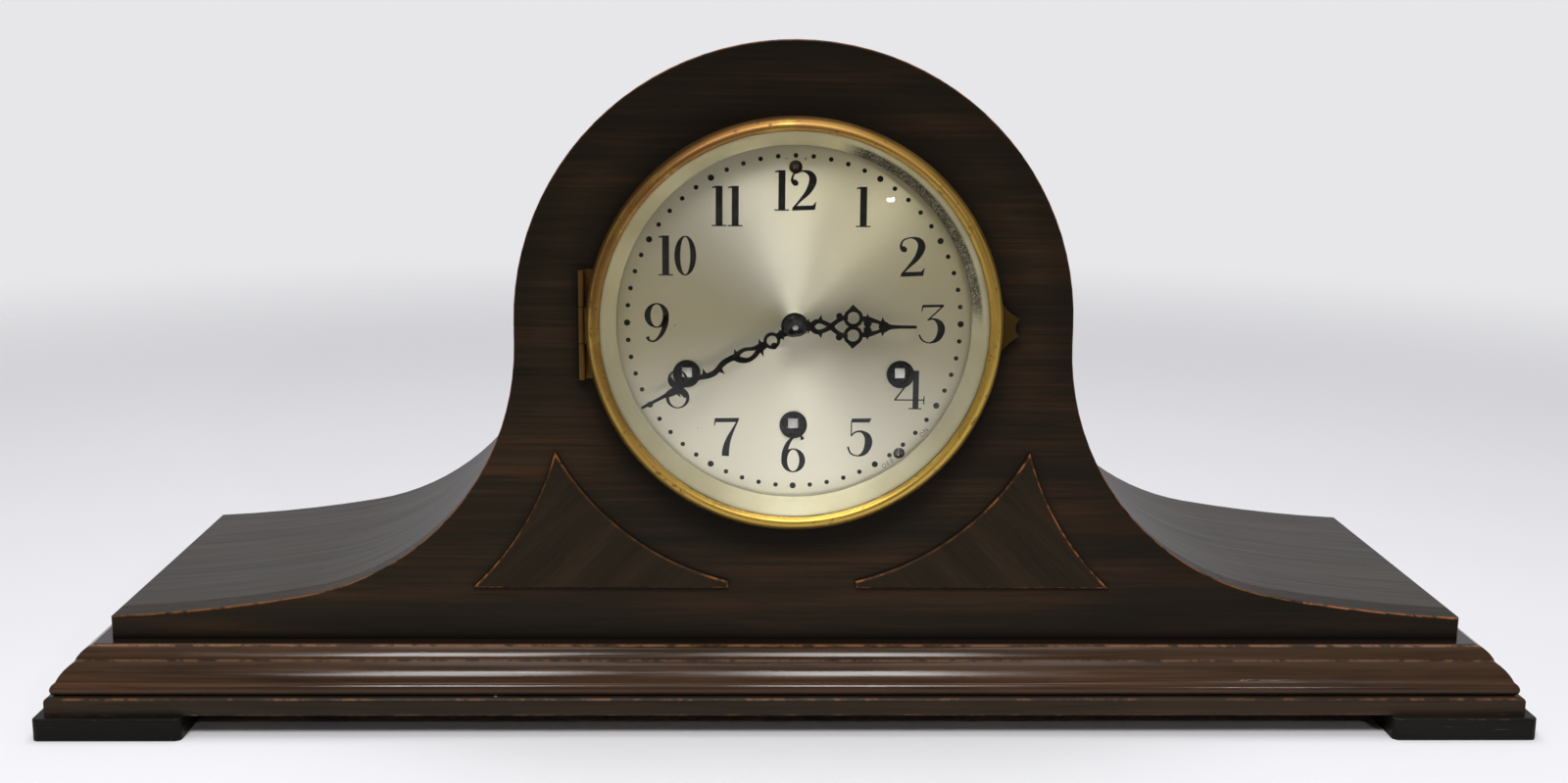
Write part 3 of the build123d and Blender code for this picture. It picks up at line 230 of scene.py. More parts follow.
def along(axis, density, stretch):
    """Noise scale for streaks that run along the axes given by their letters."""
    return tuple(density / stretch if letter in axis else density for letter in "xyz")


def wood_tone(g, axis, vector=None):
    """Fine, broad and pore noise of a stained wood with its grain along an axis."""
    fine = g.noise(along(axis, FINE_GRAIN, GRAIN_STRETCH), 5.0, 0.6, 0.3, vector)
    broad = g.noise(along(axis, BROAD_GRAIN, 9.0), 3.0, 0.5, 0.8, vector)
    pore = g.noise(along(axis, PORE_GRAIN, 26.0), 2.0, 0.5, 0.0, vector)
    return fine, broad, g.ease(pore, 0.40, 0.30)


def stained(g, fine, broad, pore, dark, middle, warm):
    tone = g.add(g.times(fine, 0.45), g.times(broad, 0.55))
    colour = g.ramp(tone, ((0.34, dark), (0.5, middle), (0.68, warm)))
    return g.mix(g.times(pore, 0.35), colour, tuple(0.5 * value for value in dark))


def varnished(g, colour, fine, pore, rough, gloss, relief=0.03 * MM):
    """Satin varnish whose gloss follows the grain."""
    height = g.math("SUBTRACT", fine, g.times(pore, 0.8))
    g.surface(
        base_color=colour,
        roughness=g.ease(fine, 0.2, 0.8, rough - 0.06, rough + 0.1),
        specular_ior_level=gloss,
        normal=g.bump(height, relief, 0.6),
    )
    return g.material


# Dark, middle and warm tone of each stained wood
STAINS = {
    "front_wood": ((0.0125, 0.0096, 0.0058), (0.0215, 0.0147, 0.0080), (0.052, 0.0250, 0.0115)),
    "top_wood": ((0.0140, 0.0098, 0.0070), (0.0200, 0.0136, 0.0092), (0.030, 0.0185, 0.0115)),
    "overlay_wood": ((0.0135, 0.0100, 0.0058), (0.0215, 0.0148, 0.0080), (0.036, 0.0205, 0.0098)),
    "moulding_wood": ((0.0230, 0.0125, 0.0072), (0.0440, 0.0220, 0.0115), (0.072, 0.0330, 0.0165)),
    "plinth_wood": ((0.0160, 0.0108, 0.0064), (0.0270, 0.0172, 0.0098), (0.046, 0.0250, 0.0130)),
    "foot_wood": ((0.0050, 0.0046, 0.0038), (0.0072, 0.0066, 0.0052), (0.012, 0.0105, 0.0085)),
    "back_wood": ((0.045, 0.026, 0.015), (0.090, 0.052, 0.029), (0.150, 0.088, 0.048)),
}
WEAR_ORANGE = (0.30, 0.105, 0.032)
PALE_NICK = (0.62, 0.56, 0.46)
# Dark brown for painted shade in corners, creases and under parts, and for some dirt
SHADE_AND_DIRT = (0.006, 0.0045, 0.0035)


def broken(g, mask, start, end, density=180.0):
    """Break a mask up along its length."""
    return g.times(mask, g.ease(g.noise((density, density, density), 4.0, 0.65), start, end))


def front_wood():
    g = Graph("front_wood")
    fine, broad, pore = wood_tone(g, "x")
    colour = stained(g, fine, broad, pore, *STAINS["front_wood"])
    distance, _ = from_dial_axis(g)
    # Painted shade: the panel is darkened near the bezel, along the upper arch rim, towards the bottom and
    # the top and over the right wing; the cloud is a random change of tone.
    near_bezel = g.ease(distance, BEZEL_RADIUS, BEZEL_RADIUS + 15 * MM, 0.5, 1.0)
    near_arch = g.ease(distance, ARCH_RADIUS - 14 * MM, ARCH_RADIUS - 1 * MM)
    upper = g.ease(g.z, DIAL_CENTRE.z - 40 * MM, DIAL_CENTRE.z)
    rim = g.inverse(g.times(near_arch, upper, 0.35))
    low = g.ease(g.z, CASE_BOTTOM, CASE_BOTTOM + 12 * MM, 0.62, 1.0)
    top = g.ease(g.z, DIAL_CENTRE.z + 30 * MM, panel_high.z, 1.0, 0.5)
    right_wing = g.ease(g.x, 30 * MM, 170 * MM, 1.0, 0.5)
    cloud = g.ease(g.noise((9, 9, 14), 3.0, 0.5), 0.3, 0.7, 0.78, 1.12)
    shade = g.times(near_bezel, rim, low, top, right_wing, cloud)
    colour = g.mix(g.inverse(shade), colour, SHADE_AND_DIRT)
    # Painted shadow: a thin dark line where the panel meets the moulding.
    seam_shadow = g.ease(g.z, CASE_BOTTOM + 1.0 * MM, CASE_BOTTOM + 0.4 * MM)
    colour = g.mix(g.times(seam_shadow, 0.9), colour, SHADE_AND_DIRT)
    # Painted shade in corners and creases, with some dirt.
    crevice = g.math("MINIMUM", g.times(g.inverse(g.crevice(4 * MM)), 2.0), 0.9)
    colour = g.mix(crevice, colour, SHADE_AND_DIRT)
    edge = g.band(g.math("ABSOLUTE", g.normal_y), 0.58, 0.40)
    worn = broken(g, edge, 0.36, 0.56)
    colour = g.mix(g.times(worn, 0.85), colour, WEAR_ORANGE)
    return varnished(g, colour, fine, pore, 0.42, 0.08)


def top_wood():
    g = Graph("top_wood")
    fine, broad, pore = wood_tone(g, "xz")
    colour = stained(g, fine, broad, pore, *STAINS["top_wood"])
    return varnished(g, colour, fine, pore, 0.40, 0.2)


def overlay_wood():
    g = Graph("overlay_wood")
    side = g.math("ABSOLUTE", g.x)
    slant = g.combine(g.math("SUBTRACT", side, g.z), g.y, g.add(side, g.z))
    fine, broad, pore = wood_tone(g, "x", slant)
    colour = stained(g, fine, broad, pore, *STAINS["overlay_wood"])
    bevel = g.band(g.math("ABSOLUTE", g.normal_y), 0.7, 0.25)
    colour = g.mix(g.times(bevel, 0.55), colour, (0.050, 0.0255, 0.0115))
    tip = g.ease(g.z, overlay_high.z - 9 * MM, overlay_high.z)
    outer_toe = g.ease(side, overlay_high.x - 22 * MM, overlay_high.x)
    toe = g.math("MAXIMUM", g.ease(side, 36 * MM, 23 * MM), outer_toe)
    right_edge = g.times(g.ease(g.x, 60 * MM, 80 * MM), 0.7)
    often = g.add(g.math("MAXIMUM", g.math("MAXIMUM", tip, toe), right_edge), 0.2)
    worn = g.times(broken(g, bevel, 0.40, 0.62, 320.0), g.math("MINIMUM", often, 1.0))
    colour = g.mix(g.times(worn, 0.9), colour, WEAR_ORANGE)
    # Painted shade in the corners round the overlay, with some dirt.
    colour = g.mix(g.times(g.inverse(g.crevice(1.5 * MM)), 0.8), colour, SHADE_AND_DIRT)
    return varnished(g, colour, fine, pore, 0.45, 0.08)


def moulding_wood():
    g = Graph("moulding_wood")
    side = g.math("ABSOLUTE", g.x)
    past_end = g.math("SUBTRACT", side, CASE_HALF_WIDTH)
    past_front = g.math("SUBTRACT", FRONT_Y, g.y)
    on_end = g.math("GREATER_THAN", past_end, past_front)
    run = g.node("ShaderNodeMix", {0: on_end, 2: g.x, 3: g.y}).outputs[0]
    reach = g.node("ShaderNodeMix", {0: on_end, 2: past_front, 3: past_end}).outputs[0]
    profile = g.combine(run, reach, g.z)
    fine, broad, pore = wood_tone(g, "x", profile)
    colour = stained(g, fine, broad, pore, *STAINS["moulding_wood"])
    # Wear along the step line and the top arris, lightened partly as a painted highlight.
    step = g.band(g.z, PLINTH_TOP + 10.9 * MM, 0.6 * MM)
    arris = g.times(g.band(g.z, CASE_BOTTOM - 0.4 * MM, 0.5 * MM), g.math("LESS_THAN", g.normal_z, 0.9))
    worn = broken(g, g.math("MAXIMUM", step, arris), 0.38, 0.58)
    colour = g.mix(g.times(worn, 0.7), colour, (0.25, 0.125, 0.062))
    # Painted shade: the flat ledge just under the case is darkened.
    near_case = g.ease(g.z, CASE_BOTTOM - 0.5 * MM, CASE_BOTTOM - 0.2 * MM)
    ledge_shade = g.times(near_case, g.ease(g.normal_z, 0.9, 0.98))
    colour = g.mix(g.times(ledge_shade, 0.8), colour, SHADE_AND_DIRT)
    # Painted shade in the moulding's creases, with some dirt.
    colour = g.mix(g.times(g.inverse(g.crevice(3 * MM)), 0.85), colour, SHADE_AND_DIRT)
    colour = g.mix(specks(g, 17 * MM, 0.22, 0.8 * MM), colour, PALE_NICK)
    return varnished(g, colour, fine, pore, 0.13, 0.24, 0.008 * MM)


def plinth_wood():
    g = Graph("plinth_wood")
    fine, broad, pore = wood_tone(g, "xy")
    colour = stained(g, fine, broad, pore, *STAINS["plinth_wood"])
    edge = g.band(g.normal_z, 0.62, 0.36)
    foot_edge = g.ease(g.z, plinth_low.z + 0.6 * MM, plinth_low.z)
    worn = broken(g, g.math("MAXIMUM", edge, foot_edge), 0.46, 0.68)
    colour = g.mix(g.times(worn, 0.65), colour, (0.24, 0.105, 0.046))
    colour = g.mix(specks(g, 12 * MM, 0.25, 0.75 * MM), colour, PALE_NICK)
    # Painted shade in the plinth's creases, with some dirt.
    colour = g.mix(g.times(g.inverse(g.crevice(3 * MM)), 0.85), colour, SHADE_AND_DIRT)
    return varnished(g, colour, fine, pore, 0.32, 0.13)


def foot_wood():
    g = Graph("foot_wood")
    fine, broad, pore = wood_tone(g, "xy")
    colour = stained(g, fine, broad, pore, *STAINS["foot_wood"])
    scratch = g.ease(g.noise((60, 60, 900), 3.0), 0.66, 0.72)
    colour = g.mix(g.times(scratch, 0.5), colour, (0.075, 0.062, 0.05))
    edge = broken(g, g.band(g.normal_z, 0.55, 0.35), 0.5, 0.68)
    colour = g.mix(g.times(edge, 0.6), colour, (0.10, 0.06, 0.035))
    return varnished(g, colour, fine, pore, 0.38, 0.09)


def back_wood():
    g = Graph("back_wood")
    fine, broad, pore = wood_tone(g, "z")
    colour = stained(g, fine, broad, pore, *STAINS["back_wood"])
    # Painted shade in corners and creases, with some dirt.
    colour = g.mix(g.times(g.inverse(g.crevice(6 * MM)), 0.7), colour, (0.02, 0.013, 0.008))
    return varnished(g, colour, fine, pore, 0.58, 0.3)


def bezel_brass():
    g = Graph("bezel_brass")
    distance, bearing = from_dial_axis(g)
    patina = g.noise((46, 46, 46), 4.0, 0.6)
    upper_left = g.sector(bearing, 0.89, 0.46)
    stain = g.times(g.ease(patina, 0.18, 0.50), g.add(g.times(upper_left, 0.92), 0.06))
    colour = g.mix(stain, (0.60, 0.40, 0.085), (0.245, 0.120, 0.042))
    spots = g.ease(g.noise((420, 420, 420), 3.0, 0.6), 0.60, 0.70)
    colour = g.mix(g.times(spots, 0.55), colour, (0.10, 0.045, 0.012))
    at_front = g.math("LESS_THAN", g.y, FRONT_Y + 8 * MM)
    outside = g.times(at_front, g.ease(distance, BEZEL_RADIUS + 0.1 * MM, BEZEL_RADIUS + 0.4 * MM))
    # Hinge on the left and catch on the right: the catch is painted almost black, darker tarnish together
    # with painted shade.
    fitting_tarnish_and_shade = g.mix(g.ease(g.x, -20 * MM, 20 * MM), (0.150, 0.082, 0.028), (0.020, 0.012, 0.006))
    colour = g.mix(g.times(outside, 0.88), colour, fitting_tarnish_and_shade)
    colour = g.mix(g.times(g.inverse(g.crevice(2.5 * MM)), 0.7), colour, (0.05, 0.025, 0.008))
    g.surface(
        base_color=colour,
        metallic=1.0,
        roughness=g.add(g.ease(patina, 0.3, 0.7, 0.36, 0.48), g.times(spots, 0.2)),
        normal=g.bump(g.noise((300, 300, 300), 3.0), 0.04 * MM, 0.5),
    )
    return g.material


def movement_brass():
    g = Graph("movement_brass")
    tarnish = g.noise((70, 70, 70), 5.0, 0.6)
    brushed = g.noise((90, 90, 2400), 2.0)
    colour = g.mix(g.ease(tarnish, 0.35, 0.7), (0.62, 0.44, 0.165), (0.44, 0.27, 0.085))
    tip = g.math("LESS_THAN", g.y, DIAL_CENTRE.y - 0.4 * MM)
    colour = g.mix(tip, colour, (0.62, 0.61, 0.59))
    g.surface(
        base_color=colour,
        metallic=1.0,
        roughness=g.ease(brushed, 0.2, 0.8, 0.24, 0.42),
        normal=g.bump(brushed, 0.006 * MM, 0.5),
    )
    return g.material


def clear_glass():
    """Clear glass that lets lamp light through to the dial."""
    g = Graph("bezel_glass")
    smear = g.noise((22, 22, 22), 3.0, 0.5, 1.2)
    shader, output = g.surface(
        base_color=g.mix(g.ease(smear, 0.45, 0.8), (0.985, 0.992, 0.985), (0.965, 0.972, 0.960)),
        roughness=0.0,
        ior=1.28,
        specular_ior_level=0.5,
        transmission_weight=1.0,
    )
    clear = g.node("ShaderNodeBsdfTransparent", {0: (0.95, 0.96, 0.95)})
    path = g.node("ShaderNodeLightPath")
    shadow = path.outputs["Is Shadow Ray"]
    both = g.node("ShaderNodeMixShader", {0: shadow, 1: shader.outputs[0], 2: clear.outputs[0]})
    g.tree.links.new(both.outputs[0], output.inputs[0])
    return g.material


def sight_silver():
    g = Graph("sight_silver")
    distance, bearing = from_dial_axis(g)
    patch = g.noise((60, 60, 60), 4.0)
    colour = g.mix(g.ease(patch, 0.35, 0.7), (0.60, 0.56, 0.41), (0.53, 0.485, 0.325))
    sector = g.sector(bearing, 0.145, 0.125)
    inner = g.ease(distance, sight_high.x - 3.2 * MM, sight_high.x - 4.4 * MM)
    residue = g.times(g.ease(sector, 0.02, 0.25), inner, g.ease(patch, 0.2, 0.45))
    dark_grains = specks(g, 0.50 * MM, 0.75, 0.40 * MM)
    pale_grains = specks(g, 0.66 * MM, 0.35, 0.26 * MM)
    flakes = g.mix(dark_grains, (0.19, 0.17, 0.125), (0.005, 0.004, 0.003))
    flakes = g.mix(pale_grains, flakes, (0.80, 0.77, 0.66))
    colour = g.mix(g.times(residue, 0.92), colour, flakes)
    colour = g.mix(g.times(g.inverse(g.crevice(1.2 * MM)), 0.5), colour, (0.12, 0.11, 0.085))
    g.surface(
        base_color=colour,
        metallic=0.85,
        roughness=g.ease(residue, 0.0, 1.0, 0.3, 0.65),
        normal=g.bump(g.times(dark_grains, residue), 0.15 * MM, 0.8),
    )
    return g.material


def dial_silver():
    """Silvering brushed in circles, so light gathers in two opposite wedges."""
    g = Graph("dial_silver")
    distance, bearing = from_dial_axis(g)
    lines = g.noise((9000, 1, 1), 2.0, 0.6, 0.0, g.combine(distance, 0.0, 0.0))
    cloud = g.noise((28, 28, 28), 4.0, 0.55)
    # Yellowing towards the upper right is tarnish; the yellow sector on the left is a painted reflection of
    # the warm room.
    tarnish_and_room_tint = g.times(g.sector(bearing, 0.14, 0.26), g.ease(distance, 0.0, DIAL_RADIUS, 0.25, 1.0))
    tarnish_and_room_tint = g.math("MAXIMUM", tarnish_and_room_tint, g.times(g.sector(bearing, 0.77, 0.14), 0.7))
    colour = g.mix(g.times(tarnish_and_room_tint, 0.85), (0.87, 0.82, 0.68), (0.82, 0.72, 0.42))
    colour = g.mix(g.times(g.ease(cloud, 0.45, 0.75), 0.35), colour, (0.78, 0.72, 0.57))
    # Painted shadow: the silvering is darkened in a ring near its rim, fading out towards the top.
    edge = g.ease(distance, 0.86 * DIAL_RADIUS, DIAL_RADIUS)
    rim_shadow_reach = g.ease(g.z, DIAL_CENTRE.z + 45 * MM, DIAL_CENTRE.z - 20 * MM)
    colour = g.mix(g.times(edge, rim_shadow_reach, 0.5), colour, (0.52, 0.475, 0.35))
    spots = specks(g, 7 * MM, 0.22, 0.45 * MM)
    colour = g.mix(g.times(spots, 0.55), colour, (0.20, 0.15, 0.09))
    tangent = g.node("ShaderNodeTangent", direction_type="RADIAL", axis="Y").outputs[0]
    g.surface(
        base_color=colour,
        metallic=0.9,
        roughness=g.ease(lines, 0.3, 0.7, 0.29, 0.38),
        anisotropic=0.78,
        anisotropic_rotation=0.25,
        tangent=tangent,
        normal=g.bump(lines, 0.002 * MM, 0.35),
    )
    return g.material


def black_steel():
    g = Graph("black_steel")
    wear = g.noise((240, 240, 240), 4.0, 0.6)
    colour = g.mix(g.ease(wear, 0.5, 0.75), (0.0045, 0.0044, 0.0044), (0.012, 0.011, 0.010))
    g.surface(
        base_color=colour,
        roughness=g.ease(wear, 0.3, 0.7, 0.22, 0.36),
        specular_ior_level=0.06,
        normal=g.bump(wear, 0.02 * MM, 0.4),
    )
    return g.material


def steel():
    """Turned steel, dark on the small arbors at the dial and rubbed pale on the winding squares."""
    g = Graph("steel")
    distance, _ = from_dial_axis(g)
    turned = g.noise((500, 90, 500), 4.0, 0.6)
    at_dial = g.math("LESS_THAN", g.y, DIAL_CENTRE.y + KEY_WEAR_DEPTH)
    small_tip = g.times(at_dial, g.math("LESS_THAN", distance, SMALL_TIP_CIRCLE))
    key_worn = g.times(at_dial, g.math("LESS_THAN", distance, KEY_WEAR_CIRCLE))
    colour = g.mix(g.ease(turned, 0.35, 0.7), (0.60, 0.59, 0.57), (0.38, 0.36, 0.33))
    colour = g.mix(small_tip, colour, (0.15, 0.145, 0.14))
    colour = g.mix(key_worn, colour, (0.82, 0.81, 0.78))
    g.surface(
        base_color=colour,
        metallic=1.0,
        roughness=g.add(g.ease(turned, 0.3, 0.7, 0.20, 0.38), g.times(key_worn, 0.28)),
        normal=g.bump(turned, 0.01 * MM, 0.5),
    )
    return g.material


def cast_iron():
    g = Graph("cast_iron")
    grain = g.noise((700, 700, 700), 4.0, 0.6)
    colour = g.mix(g.ease(grain, 0.35, 0.7), (0.016, 0.016, 0.017), (0.034, 0.033, 0.033))
    g.surface(
        base_color=colour,
        metallic=0.3,
        roughness=g.ease(grain, 0.3, 0.7, 0.45, 0.65),
        normal=g.bump(grain, 0.08 * MM, 0.6),
    )
    return g.material


def dial_ink():
    g = Graph("dial_ink")
    fade = g.noise((500, 500, 500), 4.0, 0.6)
    colour = g.mix(g.ease(fade, 0.45, 0.75), (0.005, 0.005, 0.005), (0.016, 0.015, 0.014))
    g.surface(base_color=colour, roughness=g.ease(fade, 0.3, 0.7, 0.45, 0.6), specular_ior_level=0.1)
    return g.material


makers = {
    "front_wood": front_wood,
    "top_wood": top_wood,
    "overlay_wood": overlay_wood,
    "moulding_wood": moulding_wood,
    "plinth_wood": plinth_wood,
    "foot_wood": foot_wood,
    "back_wood": back_wood,
    "bezel_brass": bezel_brass,
    "movement_brass": movement_brass,
    "bezel_glass": clear_glass,
    "sight_silver": sight_silver,
    "dial_silver": dial_silver,
    "black_steel": black_steel,
    "steel": steel,
    "cast_iron": cast_iron,
}
finishes = {slot: make() for slot, make in makers.items()}
ink = dial_ink()


def dress_nodes():
    """Give every node of the frame the finish of its slot."""
    for part in nodes.values():
        for index, material in enumerate(part.data.materials):
            part.data.materials[index] = finishes[material.name.split(".")[0]]


def place_piece(mesh, name, material, body):
    """Turn a built mesh into a piece that rides a body."""
    bmesh.ops.recalc_face_normals(mesh, faces=mesh.faces)
    data = bpy.data.meshes.new(name)
    mesh.to_mesh(data)
    mesh.free()
    piece = bpy.data.objects.new(name, data)
    bpy.context.scene.collection.objects.link(piece)
    data.materials.append(material)
    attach(piece, body)
    return piece


# Print on the dial, drawn in millimetres as (right, up) and laid on the silvering


DOT_STEPS = 20
DOT_ANGLES = [2 * math.pi * i / DOT_STEPS for i in range(DOT_STEPS)]
DOT_ROUND = [(math.cos(angle), math.sin(angle)) for angle in DOT_ANGLES]


class Print:
    """Thin raised shapes on the front of the dial, gathered in one mesh."""

    def __init__(self):
        self.mesh = bmesh.new()

    def place(self, right, up, depth):
        return Vector((right * MM, DIAL_CENTRE.y - depth, DIAL_CENTRE.z + up * MM))

    def strip(self, left, right, closed=False):
        """A raised strip between two rows of points."""
        rows = []
        for depth in (PRINT_THICKNESS, 0.0):
            for row in (left, right):
                rows.append([self.mesh.verts.new(self.place(*point, depth)) for point in row])
        top_left, top_right, low_left, low_right = rows
        count = len(left)
        for i in range(count if closed else count - 1):
            j = (i + 1) % count
            self.mesh.faces.new((top_left[i], top_left[j], top_right[j], top_right[i]))
            self.mesh.faces.new((low_left[i], low_right[i], low_right[j], low_left[j]))
            self.mesh.faces.new((top_left[i], low_left[i], low_left[j], top_left[j]))
            self.mesh.faces.new((top_right[i], top_right[j], low_right[j], low_right[i]))
        if not closed:
            for i in (0, -1):
                self.mesh.faces.new((top_left[i], top_right[i], low_right[i], low_left[i]))

    def disc(self, right, up, radius):
        """A raised round dot."""
        rim = [(right + radius * c, up + radius * s) for c, s in DOT_ROUND]
        top = [self.mesh.verts.new(self.place(*point, PRINT_THICKNESS)) for point in rim]
        low = [self.mesh.verts.new(self.place(*point, 0.0)) for point in rim]
        self.mesh.faces.new(top)
        self.mesh.faces.new(list(reversed(low)))
        for i in range(len(rim)):
            self.mesh.faces.new((top[i - 1], top[i], low[i], low[i - 1]))

    def finish(self, name):
        return place_piece(self.mesh, name, ink, "case")


STROKE_STEPS = 7
LOOP_STEPS = 40


def curve_through(points):
    """Points on a smooth curve through (right, up, half width) points."""
    found = []
    last = len(points) - 1
    for i in range(last):
        p0, p1, p2, p3 = (points[min(max(i + k, 0), last)] for k in (-1, 0, 1, 2))
        for step in range(STROKE_STEPS):
            t = step / STROKE_STEPS
            found.append(
                tuple(
                    0.5
                    * (
                        2 * b
                        + (c - a) * t
                        + (2 * a - 5 * b + 4 * c - d) * t**2
                        + (3 * b - a - 3 * c + d) * t**3
                    )
                    for a, b, c, d in zip(p0, p1, p2, p3)
                )
            )
    return found + [points[last]]


def stroke(points):
    """Both sides of a pen stroke of changing width."""
    line = curve_through(points)
    left = []
    right = []
    for i, (x, y, half) in enumerate(line):
        before = line[max(i - 1, 0)]
        after = line[min(i + 1, len(line) - 1)]
        run = math.hypot(after[0] - before[0], after[1] - before[1])
        across = ((after[1] - before[1]) / run * half, (before[0] - after[0]) / run * half)
        left.append((x - across[0], y - across[1]))
        right.append((x + across[0], y + across[1]))
    return left, right, False


def bar(x0, y0, x1, y1):
    return [(x0, y0), (x1, y0)], [(x0, y1), (x1, y1)], False


def wedge(first, second, third, fourth):
    return [first, second], [fourth, third], False


def loop(x, y, outer, inner):
    """A closed ring whose inner and outer half sizes are (across, up)."""
    rows = []
    for across, up in (outer, inner):
        row = []
        for i in range(LOOP_STEPS):
            angle = 2 * math.pi * i / LOOP_STEPS
            row.append((x + across * math.cos(angle), y + up * math.sin(angle)))
        rows.append(row)
    return rows[0], rows[1], True


DIGIT_HEIGHT = 14.0
DIGIT_GAP = 0.5

SIX = [
    loop(4.4, 4.4, (4.3, 4.4), (2.15, 3.95)),
    stroke(
        [
            (1.2, 4.2, 1.05),
            (1.35, 7.2, 1.0),
            (2.6, 10.8, 0.75),
            (5.0, 13.45, 0.35),
            (7.0, 13.3, 0.38),
            (7.7, 12.0, 0.7),
        ]
    ),
]

# Width of each digit and the strokes that make it
DIGITS = {
    "0": (7.6, [loop(3.8, 7.0, (3.8, 7.0), (1.75, 6.55))]),
    "1": (
        5.1,
        [
            bar(1.35, 0.4, 3.75, 14.0),
            bar(0.0, 0.0, 5.1, 0.45),
            wedge((0.1, 13.2), (1.35, 13.3), (1.35, 14.0), (0.1, 13.65)),
        ],
    ),
    "2": (
        9.0,
        [
            stroke(
                [
                    (2.6, 9.3, 0.5),
                    (1.5, 9.7, 1.05),
                    (0.5, 10.8, 0.5),
                    (1.3, 12.9, 0.3),
                    (4.2, 13.75, 0.28),
                    (6.8, 12.8, 0.95),
                    (7.7, 10.4, 1.35),
                    (6.2, 6.8, 1.0),
                    (3.4, 3.6, 0.5),
                    (0.7, 0.6, 0.32),
                ]
            ),
            wedge((0.2, 0.0), (8.5, 0.35), (8.6, 1.9), (2.2, 1.65)),
            wedge((7.6, 1.6), (8.55, 0.6), (9.0, 3.2), (8.6, 2.9)),
        ],
    ),
    "3": (
        9.2,
        [
            wedge((1.1, 12.9), (8.6, 13.1), (8.9, 14.0), (1.3, 13.8)),
            wedge((0.9, 11.2), (1.2, 11.3), (1.7, 13.2), (1.1, 13.2)),
            stroke([(8.6, 13.5, 0.3), (5.9, 10.9, 0.26), (3.2, 8.3, 0.26)]),
            stroke(
                [
                    (3.2, 8.5, 0.28),
                    (5.4, 8.8, 0.36),
                    (7.5, 7.3, 1.05),
                    (8.1, 4.8, 1.3),
                    (6.9, 1.8, 0.95),
                    (4.3, 0.32, 0.28),
                    (1.6, 1.1, 0.3),
                    (0.3, 3.2, 0.32),
                ]
            ),
        ],
    ),
    "4": (
        11.0,
        [
            bar(6.8, 0.4, 8.9, 14.0),
            bar(5.4, 0.0, 10.0, 0.42),
            bar(0.2, 3.15, 11.0, 3.6),
            wedge((10.55, 1.9), (10.95, 1.6), (11.05, 4.9), (10.65, 4.6)),
            stroke([(0.4, 3.3, 0.28), (4.0, 8.2, 0.28), (7.6, 13.4, 0.28)]),
        ],
    ),
    "5": (
        8.8,
        [
            wedge((1.2, 12.5), (7.9, 12.5), (8.6, 14.0), (1.6, 13.9)),
            bar(1.2, 7.4, 1.62, 12.7),
            stroke(
                [
                    (1.3, 7.6, 0.28),
                    (3.0, 9.0, 0.3),
                    (5.2, 9.1, 0.45),
                    (7.2, 7.4, 1.15),
                    (7.6, 4.7, 1.35),
                    (6.4, 1.7, 0.95),
                    (4.0, 0.3, 0.28),
                    (1.3, 1.2, 0.3),
                    (0.3, 3.6, 0.36),
                ]
            ),
        ],
    ),
    "6": (8.6, SIX),
    "7": (
        9.0,
        [
            wedge((0.5, 12.4), (8.4, 12.5), (9.0, 14.0), (0.3, 13.9)),
            wedge((0.0, 11.2), (0.35, 11.2), (0.8, 13.6), (0.3, 13.9)),
            stroke([(8.7, 13.5, 0.25), (6.9, 9.9, 0.5), (5.2, 6.2, 0.9), (4.3, 2.8, 1.2), (4.1, 0.1, 1.3)]),
        ],
    ),
    "8": (
        8.6,
        [
            loop(4.3, 10.5, (3.5, 3.5), (2.5, 3.1)),
            loop(4.3, 3.9, (4.2, 3.9), (3.0, 3.5)),
            stroke([(1.4, 11.2, 0.6), (2.8, 8.9, 1.05), (5.6, 6.4, 1.15), (7.5, 4.2, 0.9)]),
        ],
    ),
    "9": (8.6, None),
}


def turned_over(shapes, width):
    """The shapes of a digit turned upside down."""
    turned = []
    for left, right, closed in shapes:
        rows = [[(width - x, DIGIT_HEIGHT - y) for x, y in row] for row in (left, right)]
        turned.append((*rows, closed))
    return turned


def write_number(sheet, text, right, up):
    """Write a number with its middle at a place on the dial."""
    widths = [DIGITS[digit][0] for digit in text]
    start = right - (sum(widths) + DIGIT_GAP * (len(text) - 1)) / 2
    for digit, width in zip(text, widths):
        shapes = DIGITS[digit][1] or turned_over(SIX, width)
        for left_row, right_row, closed in shapes:
            rows = [
                [(start + x, up - DIGIT_HEIGHT / 2 + y) for x, y in row] for row in (left_row, right_row)
            ]
            sheet.strip(*rows, closed)
        start += width + DIGIT_GAP


NUMERAL_SHIFT = {12: -0.8, 3: 1.0, 6: -0.5, 9: 0.8}


def dial_numerals():
    sheet = Print()
    for hour in range(1, 13):
        angle = math.radians(30 * hour)
        circle = NUMERAL_CIRCLE / MM + NUMERAL_SHIFT.get(hour, 0.0)
        write_number(sheet, str(hour), circle * math.sin(angle), circle * math.cos(angle))
    return sheet.finish("dial_numerals")


def minute_dots():
    sheet = Print()
    for minute in range(60):
        angle = math.radians(6 * minute)
        radius = (HOUR_DOT_RADIUS if minute % 5 == 0 and minute else MINUTE_DOT_RADIUS) / MM
        circle = DOT_CIRCLE / MM
        sheet.disc(circle * math.sin(angle), circle * math.cos(angle), radius)
    return sheet.finish("minute_dots")


